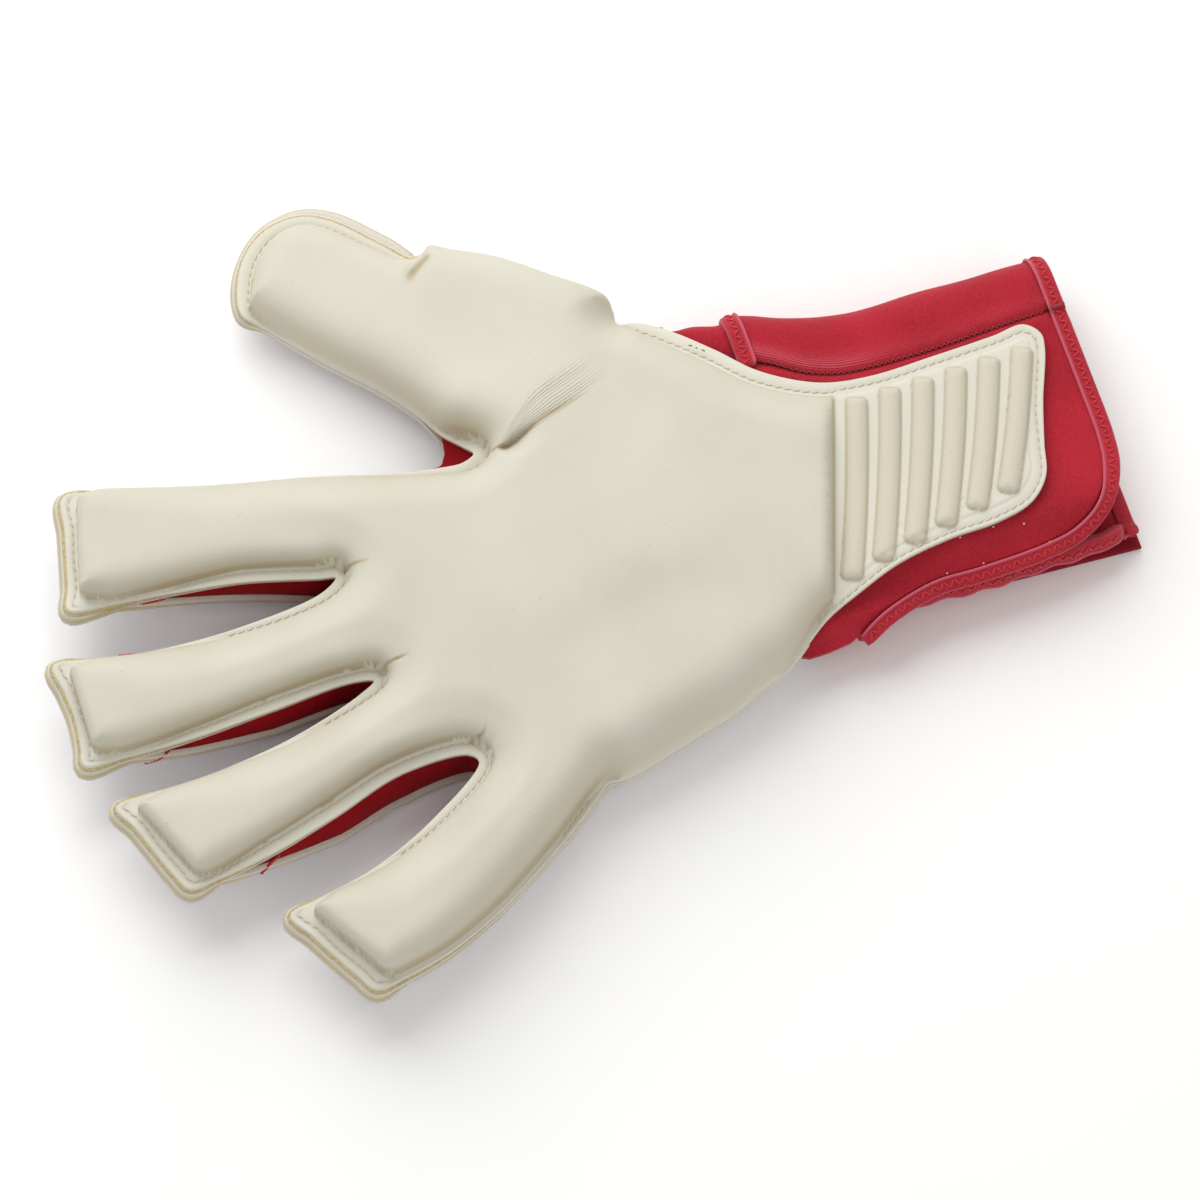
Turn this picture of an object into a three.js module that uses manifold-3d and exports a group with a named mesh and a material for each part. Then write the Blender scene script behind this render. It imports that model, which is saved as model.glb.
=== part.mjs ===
// A right-hand goalkeeper glove that lies on its back, palm up. All lengths are millimetres.
// +X points to the thumb side, +Y to the fingertips and +Z out of the palm. The glove rests on z = 0.
import * as THREE from "three";
import { mergeVertices } from "three/addons/utils/BufferGeometryUtils.js";
import Module from "manifold-3d";

const wasm = await Module();
wasm.setup();

// Driving sizes of the hand
const palmWidth = 107; // across the knuckles
const palmLength = 118; // from the middle finger's root to the wrist line
const indexLength = 62;
const middleLength = 71;
const ringLength = 63.5;
const littleLength = 60;
const fingerWidth = 30;
const thumbLength = 70; // from the thumb's joint to its tip
const thumbWidth = 42;
const thumbAngle = 38.7; // degrees from +Y towards +X

// Driving sizes of the wrist
const cuffLength = 94.5; // from the wrist line to the cuff's end
const cuffWidth = 84;
const ribCount = 6;
const ribSpacing = 9.4;
const ribWidth = 6.4;
const ribHeight = 1.8;

// Heights over the surface that the glove lies on
const weltHeight = 22; // top of the palm's flat sewn edges
const palmCrown = 34; // highest point of the palm's latex
const tipLift = 11; // how far the curled fingertips lift the backhand

// Walls, edges and gaps
const weltWidth = 4; // flat sewn edge round each pad
const weltThickness = 2;
const padThickness = 5; // latex foam away from the edges
const backThickness = 2.6;
const gussetHeight = 16; // at the finger roots
const gussetThickness = 1.2;
const gussetInset = 2.8; // from the palm's edge to the gusset
const clothThickness = 2;
const bindingWidth = 4.2;
const bindingThickness = 3.2;
const strapThickness = 2;
const seamGap = 0.3;

// Mesh steps
const outlineStep = 4.2;
const topGrid = 8.5;
const underGrid = 13;

const radians = Math.PI / 180;
const wristY = -0.356 * palmLength;

// Palm and wrist places from shares of the named sizes
const handPoint = (x, y) => ({ x: x * palmWidth, y: y * palmLength });
const cuffPoint = (x, y) => ({ x: x * cuffWidth, y: wristY - y * cuffLength });

const thumbRoot = handPoint(0.673, 0.136);

function thumbPoint(along, across) {
  const sin = Math.sin(thumbAngle * radians);
  const cos = Math.cos(thumbAngle * radians);
  const a = along * thumbLength;
  const b = across * thumbWidth;
  return { x: thumbRoot.x + a * sin + b * cos, y: thumbRoot.y + a * cos - b * sin };
}

// An outline row: place, edge height as a share of weltHeight, roll (0 a flat welt, 1 latex rolled round),
// open (gusset height as a share) and over (how far the backhand reaches past the palm)
function row(point, edge, roll = 0, open = 0, over = 0) {
  return { ...point, edge: edge * weltHeight, roll, open: open * gussetHeight, over };
}

const tongueEdge = 1.09; // the tongue lies on the wrist cloth, a little higher than the palm's welts

// Columns: x, y as cuff shares, edge, roll
const tongueThumbSide = [
  [0.256, 0.892, tongueEdge, 0],
  [0.31, 0.897, tongueEdge, 0],
  [0.354, 0.86, tongueEdge, 0],
  [0.346, 0.768, tongueEdge, 0],
  [0.339, 0.592, tongueEdge, 0],
  [0.336, 0.394, tongueEdge, 0],
  [0.364, 0.254, tongueEdge, 0],
  [0.464, 0.106, 1.05, 0],
  [0.586, 0.008, 0.98, 0],
  [0.702, -0.091, 0.88, 0],
  [0.768, -0.17, 0.82, 0],
  [0.79, -0.222, 0.76, 0.3],
];

// Columns: along and across as thumb shares, edge, roll, open, over
const thumbRows = [
  [-0.4, 0.583, 0.6, 1, 0, 0],
  [-0.15, 0.598, 0.59, 1, 0, 0],
  [0.057, 0.6, 0.59, 1, 0, 0],
  [0.249, 0.555, 0.59, 1, 0, 0],
  [0.339, 0.533, 0.62, 0.8, 0, 0],
  [0.381, 0.424, 0.65, 0.2, 0, 2.5],
  [0.514, 0.443, 0.67, 0, 0, 3.5],
  [0.739, 0.481, 0.69, 0, 0, 3.5],
  [0.853, 0.438, 0.69, 0, 0, 3],
  [0.954, 0.271, 0.69, 0, 0, 2],
  [0.987, 0.055, 0.69, 0, 0, 1.5],
  [0.961, -0.171, 0.69, 0, 0, 1.5],
  [0.906, -0.324, 0.68, 0.1, 0, 1],
  [0.819, -0.336, 0.6, 0.7, 0, 0],
  [0.523, -0.424, 0.56, 1, 0, 0],
  [0.301, -0.481, 0.6, 1, 0, 0],
  [0.114, -0.569, 0.68, 1, 0, 0],
  [0.006, -0.648, 0.79, 0.6, 0.25, 0],
  [-0.099, -0.698, 0.91, 0.1, 0.8, 0],
];

// Columns: x, y as hand shares, edge, roll, open
const thumbCrotch = [
  [0.379, 0.219, 1, 0, 1],
  [0.363, 0.258, 0.98, 0, 0.8],
  [0.373, 0.316, 0.93, 0, 0.3],
  [0.395, 0.403, 0.87, 0, 0],
];
const fingerCrotches = [
  [0.171, 0.597, 1, 0, 1],
  [-0.114, 0.581, 1, 0, 1],
  [-0.364, 0.439, 1, 0, 1],
];
const littleRoot = [
  [-0.609, 0.296, 0.6, 0, 0],
  [-0.546, 0.218, 0.58, 0, 0],
  [-0.51, 0.176, 0.57, 0.5, 0],
  [-0.512, 0.131, 0.55, 1, 0],
  [-0.493, 0.053, 0.55, 1, 0],
  [-0.462, -0.05, 0.55, 1, 0],
  [-0.434, -0.152, 0.59, 1, 0],
  [-0.404, -0.212, 0.64, 1, 0],
];

// Columns: x, y as cuff shares, edge, roll
const tonguePinkySide = [
  [-0.481, -0.09, 0.73, 0.8],
  [-0.378, 0.053, 0.91, 0.3],
  [-0.331, 0.161, 1, 0],
  [-0.284, 0.292, tongueEdge, 0],
  [-0.256, 0.449, tongueEdge, 0],
  [-0.249, 0.597, tongueEdge, 0],
  [-0.219, 0.702, tongueEdge, 0],
  [-0.152, 0.764, tongueEdge, 0],
  [-0.05, 0.792, tongueEdge, 0],
  [0.092, 0.834, tongueEdge, 0],
];

// Columns: name, root x and y as hand shares, length, lean in degrees from +Y towards +X, bow as a share
// of the length, widths at root, waist and tip as finger shares, edge shares of the two sides
const fingers = [
  {
    name: "index", x: 0.335, y: 0.631, length: indexLength, lean: 8.4, bow: 0,
    root: 0.95, waist: 1, tip: 1.07, thumbGusset: 0, pinkyGusset: 1,
    thumbEdge: [0.84, 0.76, 0.95], pinkyEdge: [1, 1, 1],
  },
  {
    name: "middle", x: 0.021, y: 0.653, length: middleLength, lean: -0.3, bow: 0.027,
    root: 0.86, waist: 0.83, tip: 1.04, thumbGusset: 1, pinkyGusset: 1,
    thumbEdge: [1, 1, 1.03], pinkyEdge: [1, 1, 1.03],
  },
  {
    name: "ring", x: -0.252, y: 0.627, length: ringLength, lean: -10.6, bow: 0.033,
    root: 0.81, waist: 0.83, tip: 1.05, thumbGusset: 1, pinkyGusset: 1,
    thumbEdge: [1, 1, 1.03], pinkyEdge: [1, 1, 1.03],
  },
  {
    name: "little", x: -0.516, y: 0.389, length: littleLength, lean: -23.2, bow: 0.065,
    root: 0.97, waist: 0.93, tip: 1.01, thumbGusset: 1, pinkyGusset: 0,
    thumbEdge: [1, 1, 0.96], pinkyEdge: [0.62, 0.71, 0.93],
  },
];
const sideStations = [0, 0.32, 0.62, 0.86, 1];
const gussetReach = 0.74; // the gusset's point, as a share of the finger
const tipDip = 1.6; // the end of a finger is cut a little hollow
const tipOver = 2.6; // the backhand shows past the palm there

// A value that runs through three stations at a share of 0, 0.5 and 1
function throughThree([first, middle, last], t) {
  return first * (2 * t - 1) * (t - 1) + middle * 4 * t * (1 - t) + last * t * (2 * t - 1);
}

// A point on a finger: t along it, side from -1 (thumb side) to 1 (little finger side)
function fingerPoint(finger, t, side) {
  const angle = finger.lean * radians;
  const along = { x: Math.sin(angle), y: Math.cos(angle) };
  const across = { x: -along.y, y: along.x };
  const root = handPoint(finger.x, finger.y);
  const bow = finger.bow * finger.length * 4 * t * (1 - t);
  const width = fingerWidth * throughThree([finger.root, finger.waist, finger.tip], t);
  const offset = bow + (side * width) / 2;
  return {
    x: root.x + along.x * finger.length * t + across.x * offset,
    y: root.y + along.y * finger.length * t + across.y * offset,
  };
}

// The rows of one side of a finger, from its root to its tip
function fingerSide(finger, side) {
  const edges = side < 0 ? finger.thumbEdge : finger.pinkyEdge;
  const gusset = side < 0 ? finger.thumbGusset : finger.pinkyGusset;
  return sideStations.map((t) => {
    const open = gusset * 0.9 * Math.max(0, 1 - t / gussetReach) ** 0.8;
    return row(fingerPoint(finger, t, side), throughThree(edges, t), 0, open, t === 1 ? tipOver : 0);
  });
}

function fingerRows(finger) {
  const hollow = 1 - tipDip / finger.length;
  const tip = [-0.5, 0, 0.5].map((side) => {
    const edge = (finger.thumbEdge[2] + finger.pinkyEdge[2]) / 2;
    return row(fingerPoint(finger, side === 0 ? hollow : (1 + hollow) / 2, side), edge, 0, 0, tipOver);
  });
  return [...fingerSide(finger, -1), ...tip, ...fingerSide(finger, 1).reverse()];
}

function palmRows() {
  const rows = tongueThumbSide.map(([x, y, edge, roll]) => row(cuffPoint(x, y), edge, roll));
  thumbRows.forEach(([along, across, edge, roll, open, over]) => {
    rows.push(row(thumbPoint(along, across), edge, roll, open, over));
  });
  thumbCrotch.forEach(([x, y, edge, roll, open]) => rows.push(row(handPoint(x, y), edge, roll, open)));
  fingers.forEach((finger, index) => {
    rows.push(...fingerRows(finger));
    if (index < fingerCrotches.length) {
      const [x, y, edge, roll, open] = fingerCrotches[index];
      rows.push(row(handPoint(x, y), edge, roll, open));
    }
  });
  littleRoot.forEach(([x, y, edge, roll, open]) => rows.push(row(handPoint(x, y), edge, roll, open)));
  tonguePinkySide.forEach(([x, y, edge, roll]) => rows.push(row(cuffPoint(x, y), edge, roll)));
  return rows;
}

// A closed outline through its rows, with a vertex at each row and about a step apart between them
function traceOutline(rows, step) {
  const places = rows.map((r) => new THREE.Vector3(r.x, r.y, r.edge));
  const curve = new THREE.CatmullRomCurve3(places, true, "centripetal");
  const outline = [];
  rows.forEach((here, index) => {
    const next = rows[(index + 1) % rows.length];
    const pieces = Math.max(1, Math.round(Math.hypot(next.x - here.x, next.y - here.y) / step));
    for (let piece = 0; piece < pieces; piece += 1) {
      const share = piece / pieces;
      const place = curve.getPoint((index + share) / rows.length);
      const mix = (name) => here[name] + (next[name] - here[name]) * share;
      outline.push({
        x: place.x, y: place.y, edge: place.z, roll: mix("roll"), open: mix("open"), over: mix("over"),
      });
    }
  });
  return outline;
}

// The outward normal at a vertex of a counterclockwise outline
function outwardAt(outline, index) {
  const count = outline.length;
  const before = outline[(index + count - 1) % count];
  const after = outline[(index + 1) % count];
  const length = Math.hypot(after.x - before.x, after.y - before.y);
  return { x: (after.y - before.y) / length, y: (before.x - after.x) / length };
}

function distanceTo(outline, x, y) {
  let nearest = Infinity;
  outline.forEach((a, index) => {
    const b = outline[(index + 1) % outline.length];
    const dx = b.x - a.x;
    const dy = b.y - a.y;
    const share = Math.min(1, Math.max(0, ((x - a.x) * dx + (y - a.y) * dy) / (dx * dx + dy * dy)));
    nearest = Math.min(nearest, Math.hypot(x - a.x - share * dx, y - a.y - share * dy));
  });
  return nearest;
}

function isInside(outline, x, y) {
  let inside = false;
  outline.forEach((a, index) => {
    const b = outline[(index + 1) % outline.length];
    if (a.y > y !== b.y > y && x < a.x + ((y - a.y) * (b.x - a.x)) / (b.y - a.y)) inside = !inside;
  });
  return inside;
}

// The distance from the edge and the edge's own values, carried inwards and weighted by nearness
function nearEdge(outline, x, y) {
  const sums = { edge: 0, roll: 0, open: 0 };
  let weights = 0;
  outline.forEach((vertex) => {
    const weight = 1 / (((x - vertex.x) ** 2 + (y - vertex.y) ** 2) ** 1.75 + 0.01);
    weights += weight;
    Object.keys(sums).forEach((name) => {
      sums[name] += weight * vertex[name];
    });
  });
  const inside = isInside(outline, x, y) ? distanceTo(outline, x, y) : 0;
  return { inside, edge: sums.edge / weights, roll: sums.roll / weights, open: sums.open / weights };
}

// Heights at named spots, blended smoothly between them
const spotReach = 13;
function blendSpots(spots) {
  return (x, y) => {
    let sum = 0;
    let weights = 0;
    spots.forEach((spot) => {
      const weight = Math.exp(-((x - spot.x) ** 2 + (y - spot.y) ** 2) / (2 * spotReach * spotReach));
      sum += weight * spot.height;
      weights += weight;
    });
    return sum / weights;
  };
}

// Columns: x, y as hand shares and the pad's height as a share of palmCrown
const padSpots = [
  [0.05, 0.2, 1],
  [0.3, 0.4, 0.98],
  [0.02, 0.5, 0.96],
  [-0.24, 0.48, 0.95],
  [-0.46, 0.32, 0.9],
  [-0.35, 0.1, 0.92],
  [-0.3, -0.15, 0.9],
  [0.1, -0.15, 1],
  [0.4, 0.05, 1],
  [0.45, -0.2, 0.88],
  [0.1, -0.36, 0.88],
  [0.04, -0.6, 0.82],
  [0.03, -0.95, 0.82],
].map(([x, y, height]) => ({ ...handPoint(x, y), height: height * palmCrown }));

// Columns: along and across as thumb shares and the pad's height as a share of palmCrown
const thumbSpots = [
  [-0.1, 0.1, 0.93],
  [0.25, 0, 0.8],
  [0.6, 0, 0.7],
  [0.9, 0, 0.7],
].map(([along, across, height]) => ({ ...thumbPoint(along, across), height: height * palmCrown }));

// Columns: share along the finger and the pad's height as a share of palmCrown
const fingerHeights = [
  [0.1, 0.88],
  [0.45, 0.85],
  [0.75, 0.87],
  [1, 0.92],
];
const fingerSpots = fingers.flatMap((finger) =>
  fingerHeights.map(([t, height]) => ({ ...fingerPoint(finger, t, 0), height: height * palmCrown })),
);
const padHeight = blendSpots([...padSpots, ...thumbSpots, ...fingerSpots]);

// The backhand lies flat under the palm and lifts towards each fingertip
const backSpots = [
  ...padSpots.map((spot) => ({ ...spot, height: -3 })),
  ...thumbSpots.map((spot, index) => ({ ...spot, height: index < 2 ? -2 : 2 })),
  ...fingers.flatMap((finger) =>
    [[0, -2], [0.35, 0.5], [0.7, 0.6 * tipLift], [1, tipLift]].map(([t, height]) => ({
      ...fingerPoint(finger, t, 0), height,
    })),
  ),
];
const backBlend = blendSpots(backSpots);
const backFloor = (x, y) => Math.max(0, backBlend(x, y));

// How far a surface has risen from its edge, from 0 to 1, at a distance inside the edge
function rise(inside, roll, flat, shoulder) {
  const start = flat * (1 - roll);
  const run = Math.max(0, inside - start);
  const t = Math.min(1, run / (shoulder * (1 + 0.8 * roll)));
  return 0.78 * Math.sqrt(1 - (1 - t) ** 2) + 0.22 * (1 - Math.exp(-run / 12));
}
const padShoulder = 7;
const backShoulder = 10;

const palmOutline = traceOutline(palmRows(), outlineStep);

// The ribs lie across the tongue, longest at the palm
const ribs = Array.from({ length: ribCount }, (_, index) => {
  const thumbEnd = cuffPoint(0.279, 0.337);
  const pinkyEnd = cuffPoint(-0.302, 0.145);
  return {
    a: { x: thumbEnd.x, y: thumbEnd.y - index * ribSpacing },
    b: { x: pinkyEnd.x + index * ribSpacing * 0.21, y: pinkyEnd.y - index * ribSpacing },
  };
});

// The palm's pad stops at the wrist, and the tongue behind it is flat latex with ribs
const padEnd = cuffPoint(0, 0.185).y;
const padEndSlope = 0.34; // the pad reaches further down on its thumb side
const padEndSlant = 4;
const tongueRise = 1.2;
function tongueShare(x, y) {
  const line = y - padEnd + padEndSlope * x;
  return Math.min(1, Math.max(0, -line / padEndSlant));
}

function palmTop(x, y) {
  const near = nearEdge(palmOutline, x, y);
  const pad = (padHeight(x, y) - near.edge) * rise(near.inside, near.roll, weltWidth, padShoulder);
  const tongue = Math.min(tongueRise, Math.max(0, near.inside - weltWidth));
  return near.edge + pad + (tongue - pad) * tongueShare(x, y);
}

function palmUnder(x, y) {
  const near = nearEdge(palmOutline, x, y);
  const edge = near.edge - weltThickness;
  const shifted = Math.max(0, near.inside - weltThickness);
  const full = padHeight(x, y) - padThickness - edge;
  const pad = full * rise(shifted, near.roll, weltWidth, padShoulder);
  return edge + pad * (1 - tongueShare(x, y));
}

// A flat triangulation of points, by adding them one at a time to a large triangle
function triangulate(points) {
  const far = 1e5;
  const all = [...points, { x: -far, y: -far }, { x: far, y: -far }, { x: 0, y: far }];
  const count = points.length;
  const circled = (a, b, c) => {
    const p = all[a];
    const q = { x: all[b].x - p.x, y: all[b].y - p.y };
    const r = { x: all[c].x - p.x, y: all[c].y - p.y };
    const twice = 2 * (q.x * r.y - q.y * r.x);
    const qq = q.x * q.x + q.y * q.y;
    const rr = r.x * r.x + r.y * r.y;
    const x = (r.y * qq - q.y * rr) / twice;
    const y = (q.x * rr - r.x * qq) / twice;
    return { a, b, c, x: x + p.x, y: y + p.y, square: x * x + y * y };
  };
  let triangles = [circled(count, count + 1, count + 2)];
  points.forEach((point, index) => {
    const edges = new Map();
    triangles = triangles.filter((t) => {
      if ((point.x - t.x) ** 2 + (point.y - t.y) ** 2 > t.square) return true;
      [[t.a, t.b], [t.b, t.c], [t.c, t.a]].forEach(([from, to]) => {
        const reverse = `${to}:${from}`;
        if (edges.has(reverse)) edges.delete(reverse);
        else edges.set(`${from}:${to}`, [from, to]);
      });
      return false;
    });
    edges.forEach(([from, to]) => triangles.push(circled(from, to, index)));
  });
  return triangles.filter((t) => t.a < count && t.b < count && t.c < count);
}

// Points inside an outline: rings at given depths and a staggered grid in the middle
function innerPoints(outline, depths, spacing) {
  const points = [];
  const isFree = (x, y, gap) => points.every((p) => Math.hypot(p.x - x, p.y - y) > gap);
  const add = (x, y, gap, depth) => {
    if (!isInside(outline, x, y) || distanceTo(outline, x, y) <= depth) return;
    if (isFree(x, y, gap)) points.push({ x, y });
  };
  depths.forEach((depth, ring) => {
    outline.forEach((vertex, index) => {
      const out = outwardAt(outline, index);
      const gap = outlineStep * (ring === 0 ? 0.5 : 0.7);
      add(vertex.x - out.x * depth, vertex.y - out.y * depth, gap, depth * 0.94);
    });
  });
  const deepest = depths[depths.length - 1];
  const box = new THREE.Box2().setFromPoints(outline.map((v) => new THREE.Vector2(v.x, v.y)));
  let odd = 0;
  for (let y = box.min.y; y < box.max.y; y += spacing * 0.866) {
    for (let x = box.min.x + (odd * spacing) / 2; x < box.max.x; x += spacing) {
      add(x, y, spacing * 0.55, deepest + spacing * 0.3);
    }
    odd = 1 - odd;
  }
  return points;
}

// The triangles of a flat region, with its outline's vertices first
function fillOutline(outline, inner) {
  const points = [...outline, ...inner];
  const triangles = triangulate(points).filter((t) => {
    const x = (points[t.a].x + points[t.b].x + points[t.c].x) / 3;
    const y = (points[t.a].y + points[t.b].y + points[t.c].y) / 3;
    return isInside(outline, x, y);
  });
  return { points, triangles };
}

function meshFrom(positions, indices) {
  const geometry = new THREE.BufferGeometry();
  geometry.setAttribute("position", new THREE.Float32BufferAttribute(positions, 3));
  geometry.setIndex(indices);
  geometry.computeVertexNormals();
  return geometry;
}

// A closed sheet over an outline, between a top and an under surface that are each (x, y) => z
function sheetSolid(outline, top, under, topInner, underInner) {
  const upper = fillOutline(outline, topInner);
  const lower = fillOutline(outline, underInner);
  const positions = [];
  upper.points.forEach((p, i) => positions.push(p.x, p.y, i < outline.length ? p.edge : top(p.x, p.y)));
  lower.points.forEach((p, i) => {
    positions.push(p.x, p.y, i < outline.length ? p.edge - p.wall : under(p.x, p.y));
  });
  const first = upper.points.length;
  const indices = [];
  upper.triangles.forEach((t) => indices.push(t.a, t.b, t.c));
  lower.triangles.forEach((t) => indices.push(first + t.a, first + t.c, first + t.b));
  outline.forEach((_, i) => {
    const next = (i + 1) % outline.length;
    indices.push(i, first + i, first + next, i, first + next, next);
  });
  return meshFrom(positions, indices);
}

// A closed solid lofted through rings of points, capped at both ends
function loftSolid(rings) {
  const sides = rings[0].length;
  const positions = rings.flat().flatMap((p) => [p.x, p.y, p.z]);
  const indices = [];
  for (let ring = 0; ring + 1 < rings.length; ring += 1) {
    for (let side = 0; side < sides; side += 1) {
      const a = ring * sides + side;
      const b = ring * sides + ((side + 1) % sides);
      indices.push(a, b, b + sides, a, b + sides, a + sides);
    }
  }
  const last = (rings.length - 1) * sides;
  const half = sides / 2;
  for (let side = 0; side + 1 < half; side += 1) {
    const across = sides - 1 - side;
    indices.push(side, across, across - 1, side, across - 1, side + 1);
    indices.push(last + side, last + across - 1, last + across);
    indices.push(last + side, last + side + 1, last + across - 1);
  }
  const geometry = meshFrom(positions, indices);
  if (signedVolume(geometry) < 0) geometry.setIndex([...indices].reverse());
  return geometry;
}

function signedVolume(geometry) {
  const position = geometry.getAttribute("position");
  const index = geometry.getIndex();
  const [a, b, c] = [new THREE.Vector3(), new THREE.Vector3(), new THREE.Vector3()];
  let volume = 0;
  for (let i = 0; i < index.count; i += 3) {
    a.fromBufferAttribute(position, index.getX(i));
    b.fromBufferAttribute(position, index.getX(i + 1));
    c.fromBufferAttribute(position, index.getX(i + 2));
    volume += a.dot(b.cross(c)) / 6;
  }
  return volume;
}

// Columns: distance from a rib's end and size there, as shares of its half width and of its full section
const ribEnds = [
  [0, 0.3],
  [0.3, 0.75],
  [1, 1],
];
// Columns: side and height, as shares of a rib's half width and of its height
const ribSection = [
  [-1, -0.6],
  [-1, 0],
  [-0.8, 0.62],
  [-0.4, 0.92],
  [0.4, 0.92],
  [0.8, 0.62],
  [1, 0],
  [1, -0.6],
];

// A rib is a rounded bar with round ends, sunk a little into the tongue that it is moulded with
function ribGeometry({ a, b }) {
  const length = Math.hypot(b.x - a.x, b.y - a.y);
  const along = { x: (b.x - a.x) / length, y: (b.y - a.y) / length };
  const half = ribWidth / 2;
  const floor = weltHeight * tongueEdge + tongueRise;
  const farEnd = [...ribEnds].reverse().map(([distance, size]) => [length / half - distance, size]);
  const stations = [...ribEnds, [length / half / 2, 1], ...farEnd];
  return loftSolid(
    stations.map(([distance, size]) => {
      const s = distance * half;
      return ribSection.map(([side, height]) => ({
        x: a.x + along.x * s - along.y * side * half * size,
        y: a.y + along.y * s + along.x * side * half * size,
        z: floor + height * ribHeight * Math.sqrt(size),
      }));
    }),
  );
}

// A closed geometry as a solid that can be joined to another
function solidFrom(geometry) {
  const bare = new THREE.BufferGeometry().setAttribute("position", geometry.getAttribute("position"));
  bare.setIndex(geometry.getIndex());
  const merged = mergeVertices(bare, 1e-4);
  return new wasm.Manifold(
    new wasm.Mesh({
      numProp: 3,
      vertProperties: merged.getAttribute("position").array,
      triVerts: new Uint32Array(merged.getIndex().array),
    }),
  );
}

function geometryFrom(solid) {
  const { vertProperties, triVerts } = solid.getMesh();
  return meshFrom(Array.from(vertProperties), Array.from(triVerts));
}

function palmGeometry() {
  const outline = palmOutline.map((vertex) => ({ ...vertex, wall: weltThickness }));
  const topInner = innerPoints(outline, [weltWidth, weltWidth * 1.8, weltWidth * 2.8], topGrid);
  const underInner = innerPoints(outline, [weltWidth + weltThickness, weltWidth * 2.9], underGrid);
  const sheet = solidFrom(sheetSolid(outline, palmTop, palmUnder, topInner, underInner));
  return geometryFrom(ribs.reduce((solid, rib) => solid.add(solidFrom(ribGeometry(rib))), sheet));
}

// The backhand's outline: the palm's, cut off at the wrist line and let out where it shows past the palm
function backRows() {
  const outline = [];
  palmOutline.forEach((vertex, index) => {
    if (vertex.y < wristY + 1) return;
    const out = outwardAt(palmOutline, index);
    outline.push({
      ...vertex,
      x: vertex.x + out.x * vertex.over,
      y: vertex.y + out.y * vertex.over,
      edge: vertex.edge - weltThickness - seamGap - vertex.open - (vertex.open > 1 ? seamGap : 0),
      wall: backThickness,
    });
  });
  return outline;
}

// The palm's outline starts in the tongue, so the wrist line closes the backhand from its last row to its first
function closeWrist(outline) {
  const first = outline[0];
  const last = outline[outline.length - 1];
  const pieces = Math.round(Math.hypot(first.x - last.x, first.y - last.y) / outlineStep);
  const wrist = Array.from({ length: pieces - 1 }, (_, index) => {
    const share = (index + 1) / pieces;
    return {
      x: last.x + (first.x - last.x) * share,
      y: Math.min(last.y + (first.y - last.y) * share, wristY),
      edge: backThickness, wall: backThickness, roll: 0, open: 0, over: 0,
    };
  });
  return [...outline, ...wrist];
}
const backOutline = closeWrist(backRows());

function backTop(x, y) {
  const near = nearEdge(backOutline, x, y);
  const shifted = Math.max(0, near.inside - backThickness);
  const full = backFloor(x, y) + backThickness - near.edge;
  return near.edge + full * rise(shifted, near.roll, weltWidth, backShoulder);
}

function backUnder(x, y) {
  const near = nearEdge(backOutline, x, y);
  const edge = near.edge - backThickness;
  const flat = Math.min(1, near.inside / (weltWidth + backShoulder));
  const share = Math.max(rise(near.inside, near.roll, weltWidth, backShoulder), flat * flat);
  return edge + (backFloor(x, y) - edge) * share;
}

function backGeometry() {
  const topInner = innerPoints(backOutline, [weltWidth + backThickness, weltWidth * 3], underGrid);
  const underInner = innerPoints(backOutline, [weltWidth, weltWidth * 2, weltWidth * 3.6], underGrid);
  return sheetSolid(backOutline, backTop, backUnder, topInner, underInner);
}

// A gusset is a thin wall that follows the palm's edge from one finger's gusset point to the next finger's
function gussetGeometry(from, to) {
  const rings = [];
  for (let index = from; index <= to; index += 1) {
    const vertex = palmOutline[index];
    const out = outwardAt(palmOutline, index);
    const place = (depth) => ({ x: vertex.x - out.x * depth, y: vertex.y - out.y * depth });
    const outer = place(gussetInset);
    const inner = place(gussetInset + gussetThickness);
    const top = Math.min(palmUnder(outer.x, outer.y), palmUnder(inner.x, inner.y)) - seamGap;
    const foot = Math.max(backTop(outer.x, outer.y), backTop(inner.x, inner.y)) + seamGap;
    rings.push([
      { ...outer, z: foot }, { ...outer, z: top }, { ...inner, z: top }, { ...inner, z: foot },
    ]);
  }
  return loftSolid(rings);
}

// The stretches of the palm's edge that open wide enough for a gusset, in order from the thumb
function gussetRuns() {
  const least = 2.4;
  const runs = [];
  palmOutline.forEach((vertex, index) => {
    if (vertex.open < least) return;
    const run = runs[runs.length - 1];
    if (run && run.to === index - 1) run.to = index;
    else runs.push({ from: index, to: index });
  });
  return runs;
}

// Wrist cloth: the palm side is one panel, and the wrap goes round the thumb side to the back
const panelTop = weltHeight * tongueEdge - weltThickness - seamGap;
const wrapMiddle = panelTop - clothThickness / 2;
const wrapFloor = strapThickness + seamGap + bindingThickness / 2;
const cuffEnd = cuffPoint(0, 1).y;
const clothEnd = cuffEnd + bindingWidth + seamGap;

// Columns: share of the cuff's length, the seam's x, the thumb-side fold's x and the little-finger side's x
// as shares of the cuff's width
const wrapSections = [
  [0.105, 0.535, 0.712, -0.43],
  [0.18, 0.455, 0.672, -0.4],
  [0.27, 0.398, 0.628, -0.37],
  [0.36, 0.378, 0.605, -0.355],
  [0.48, 0.374, 0.599, -0.352],
  [0.62, 0.374, 0.598, -0.356],
  [0.78, 0.384, 0.597, -0.358],
  [1, 0.39, 0.59, -0.36],
];

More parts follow.
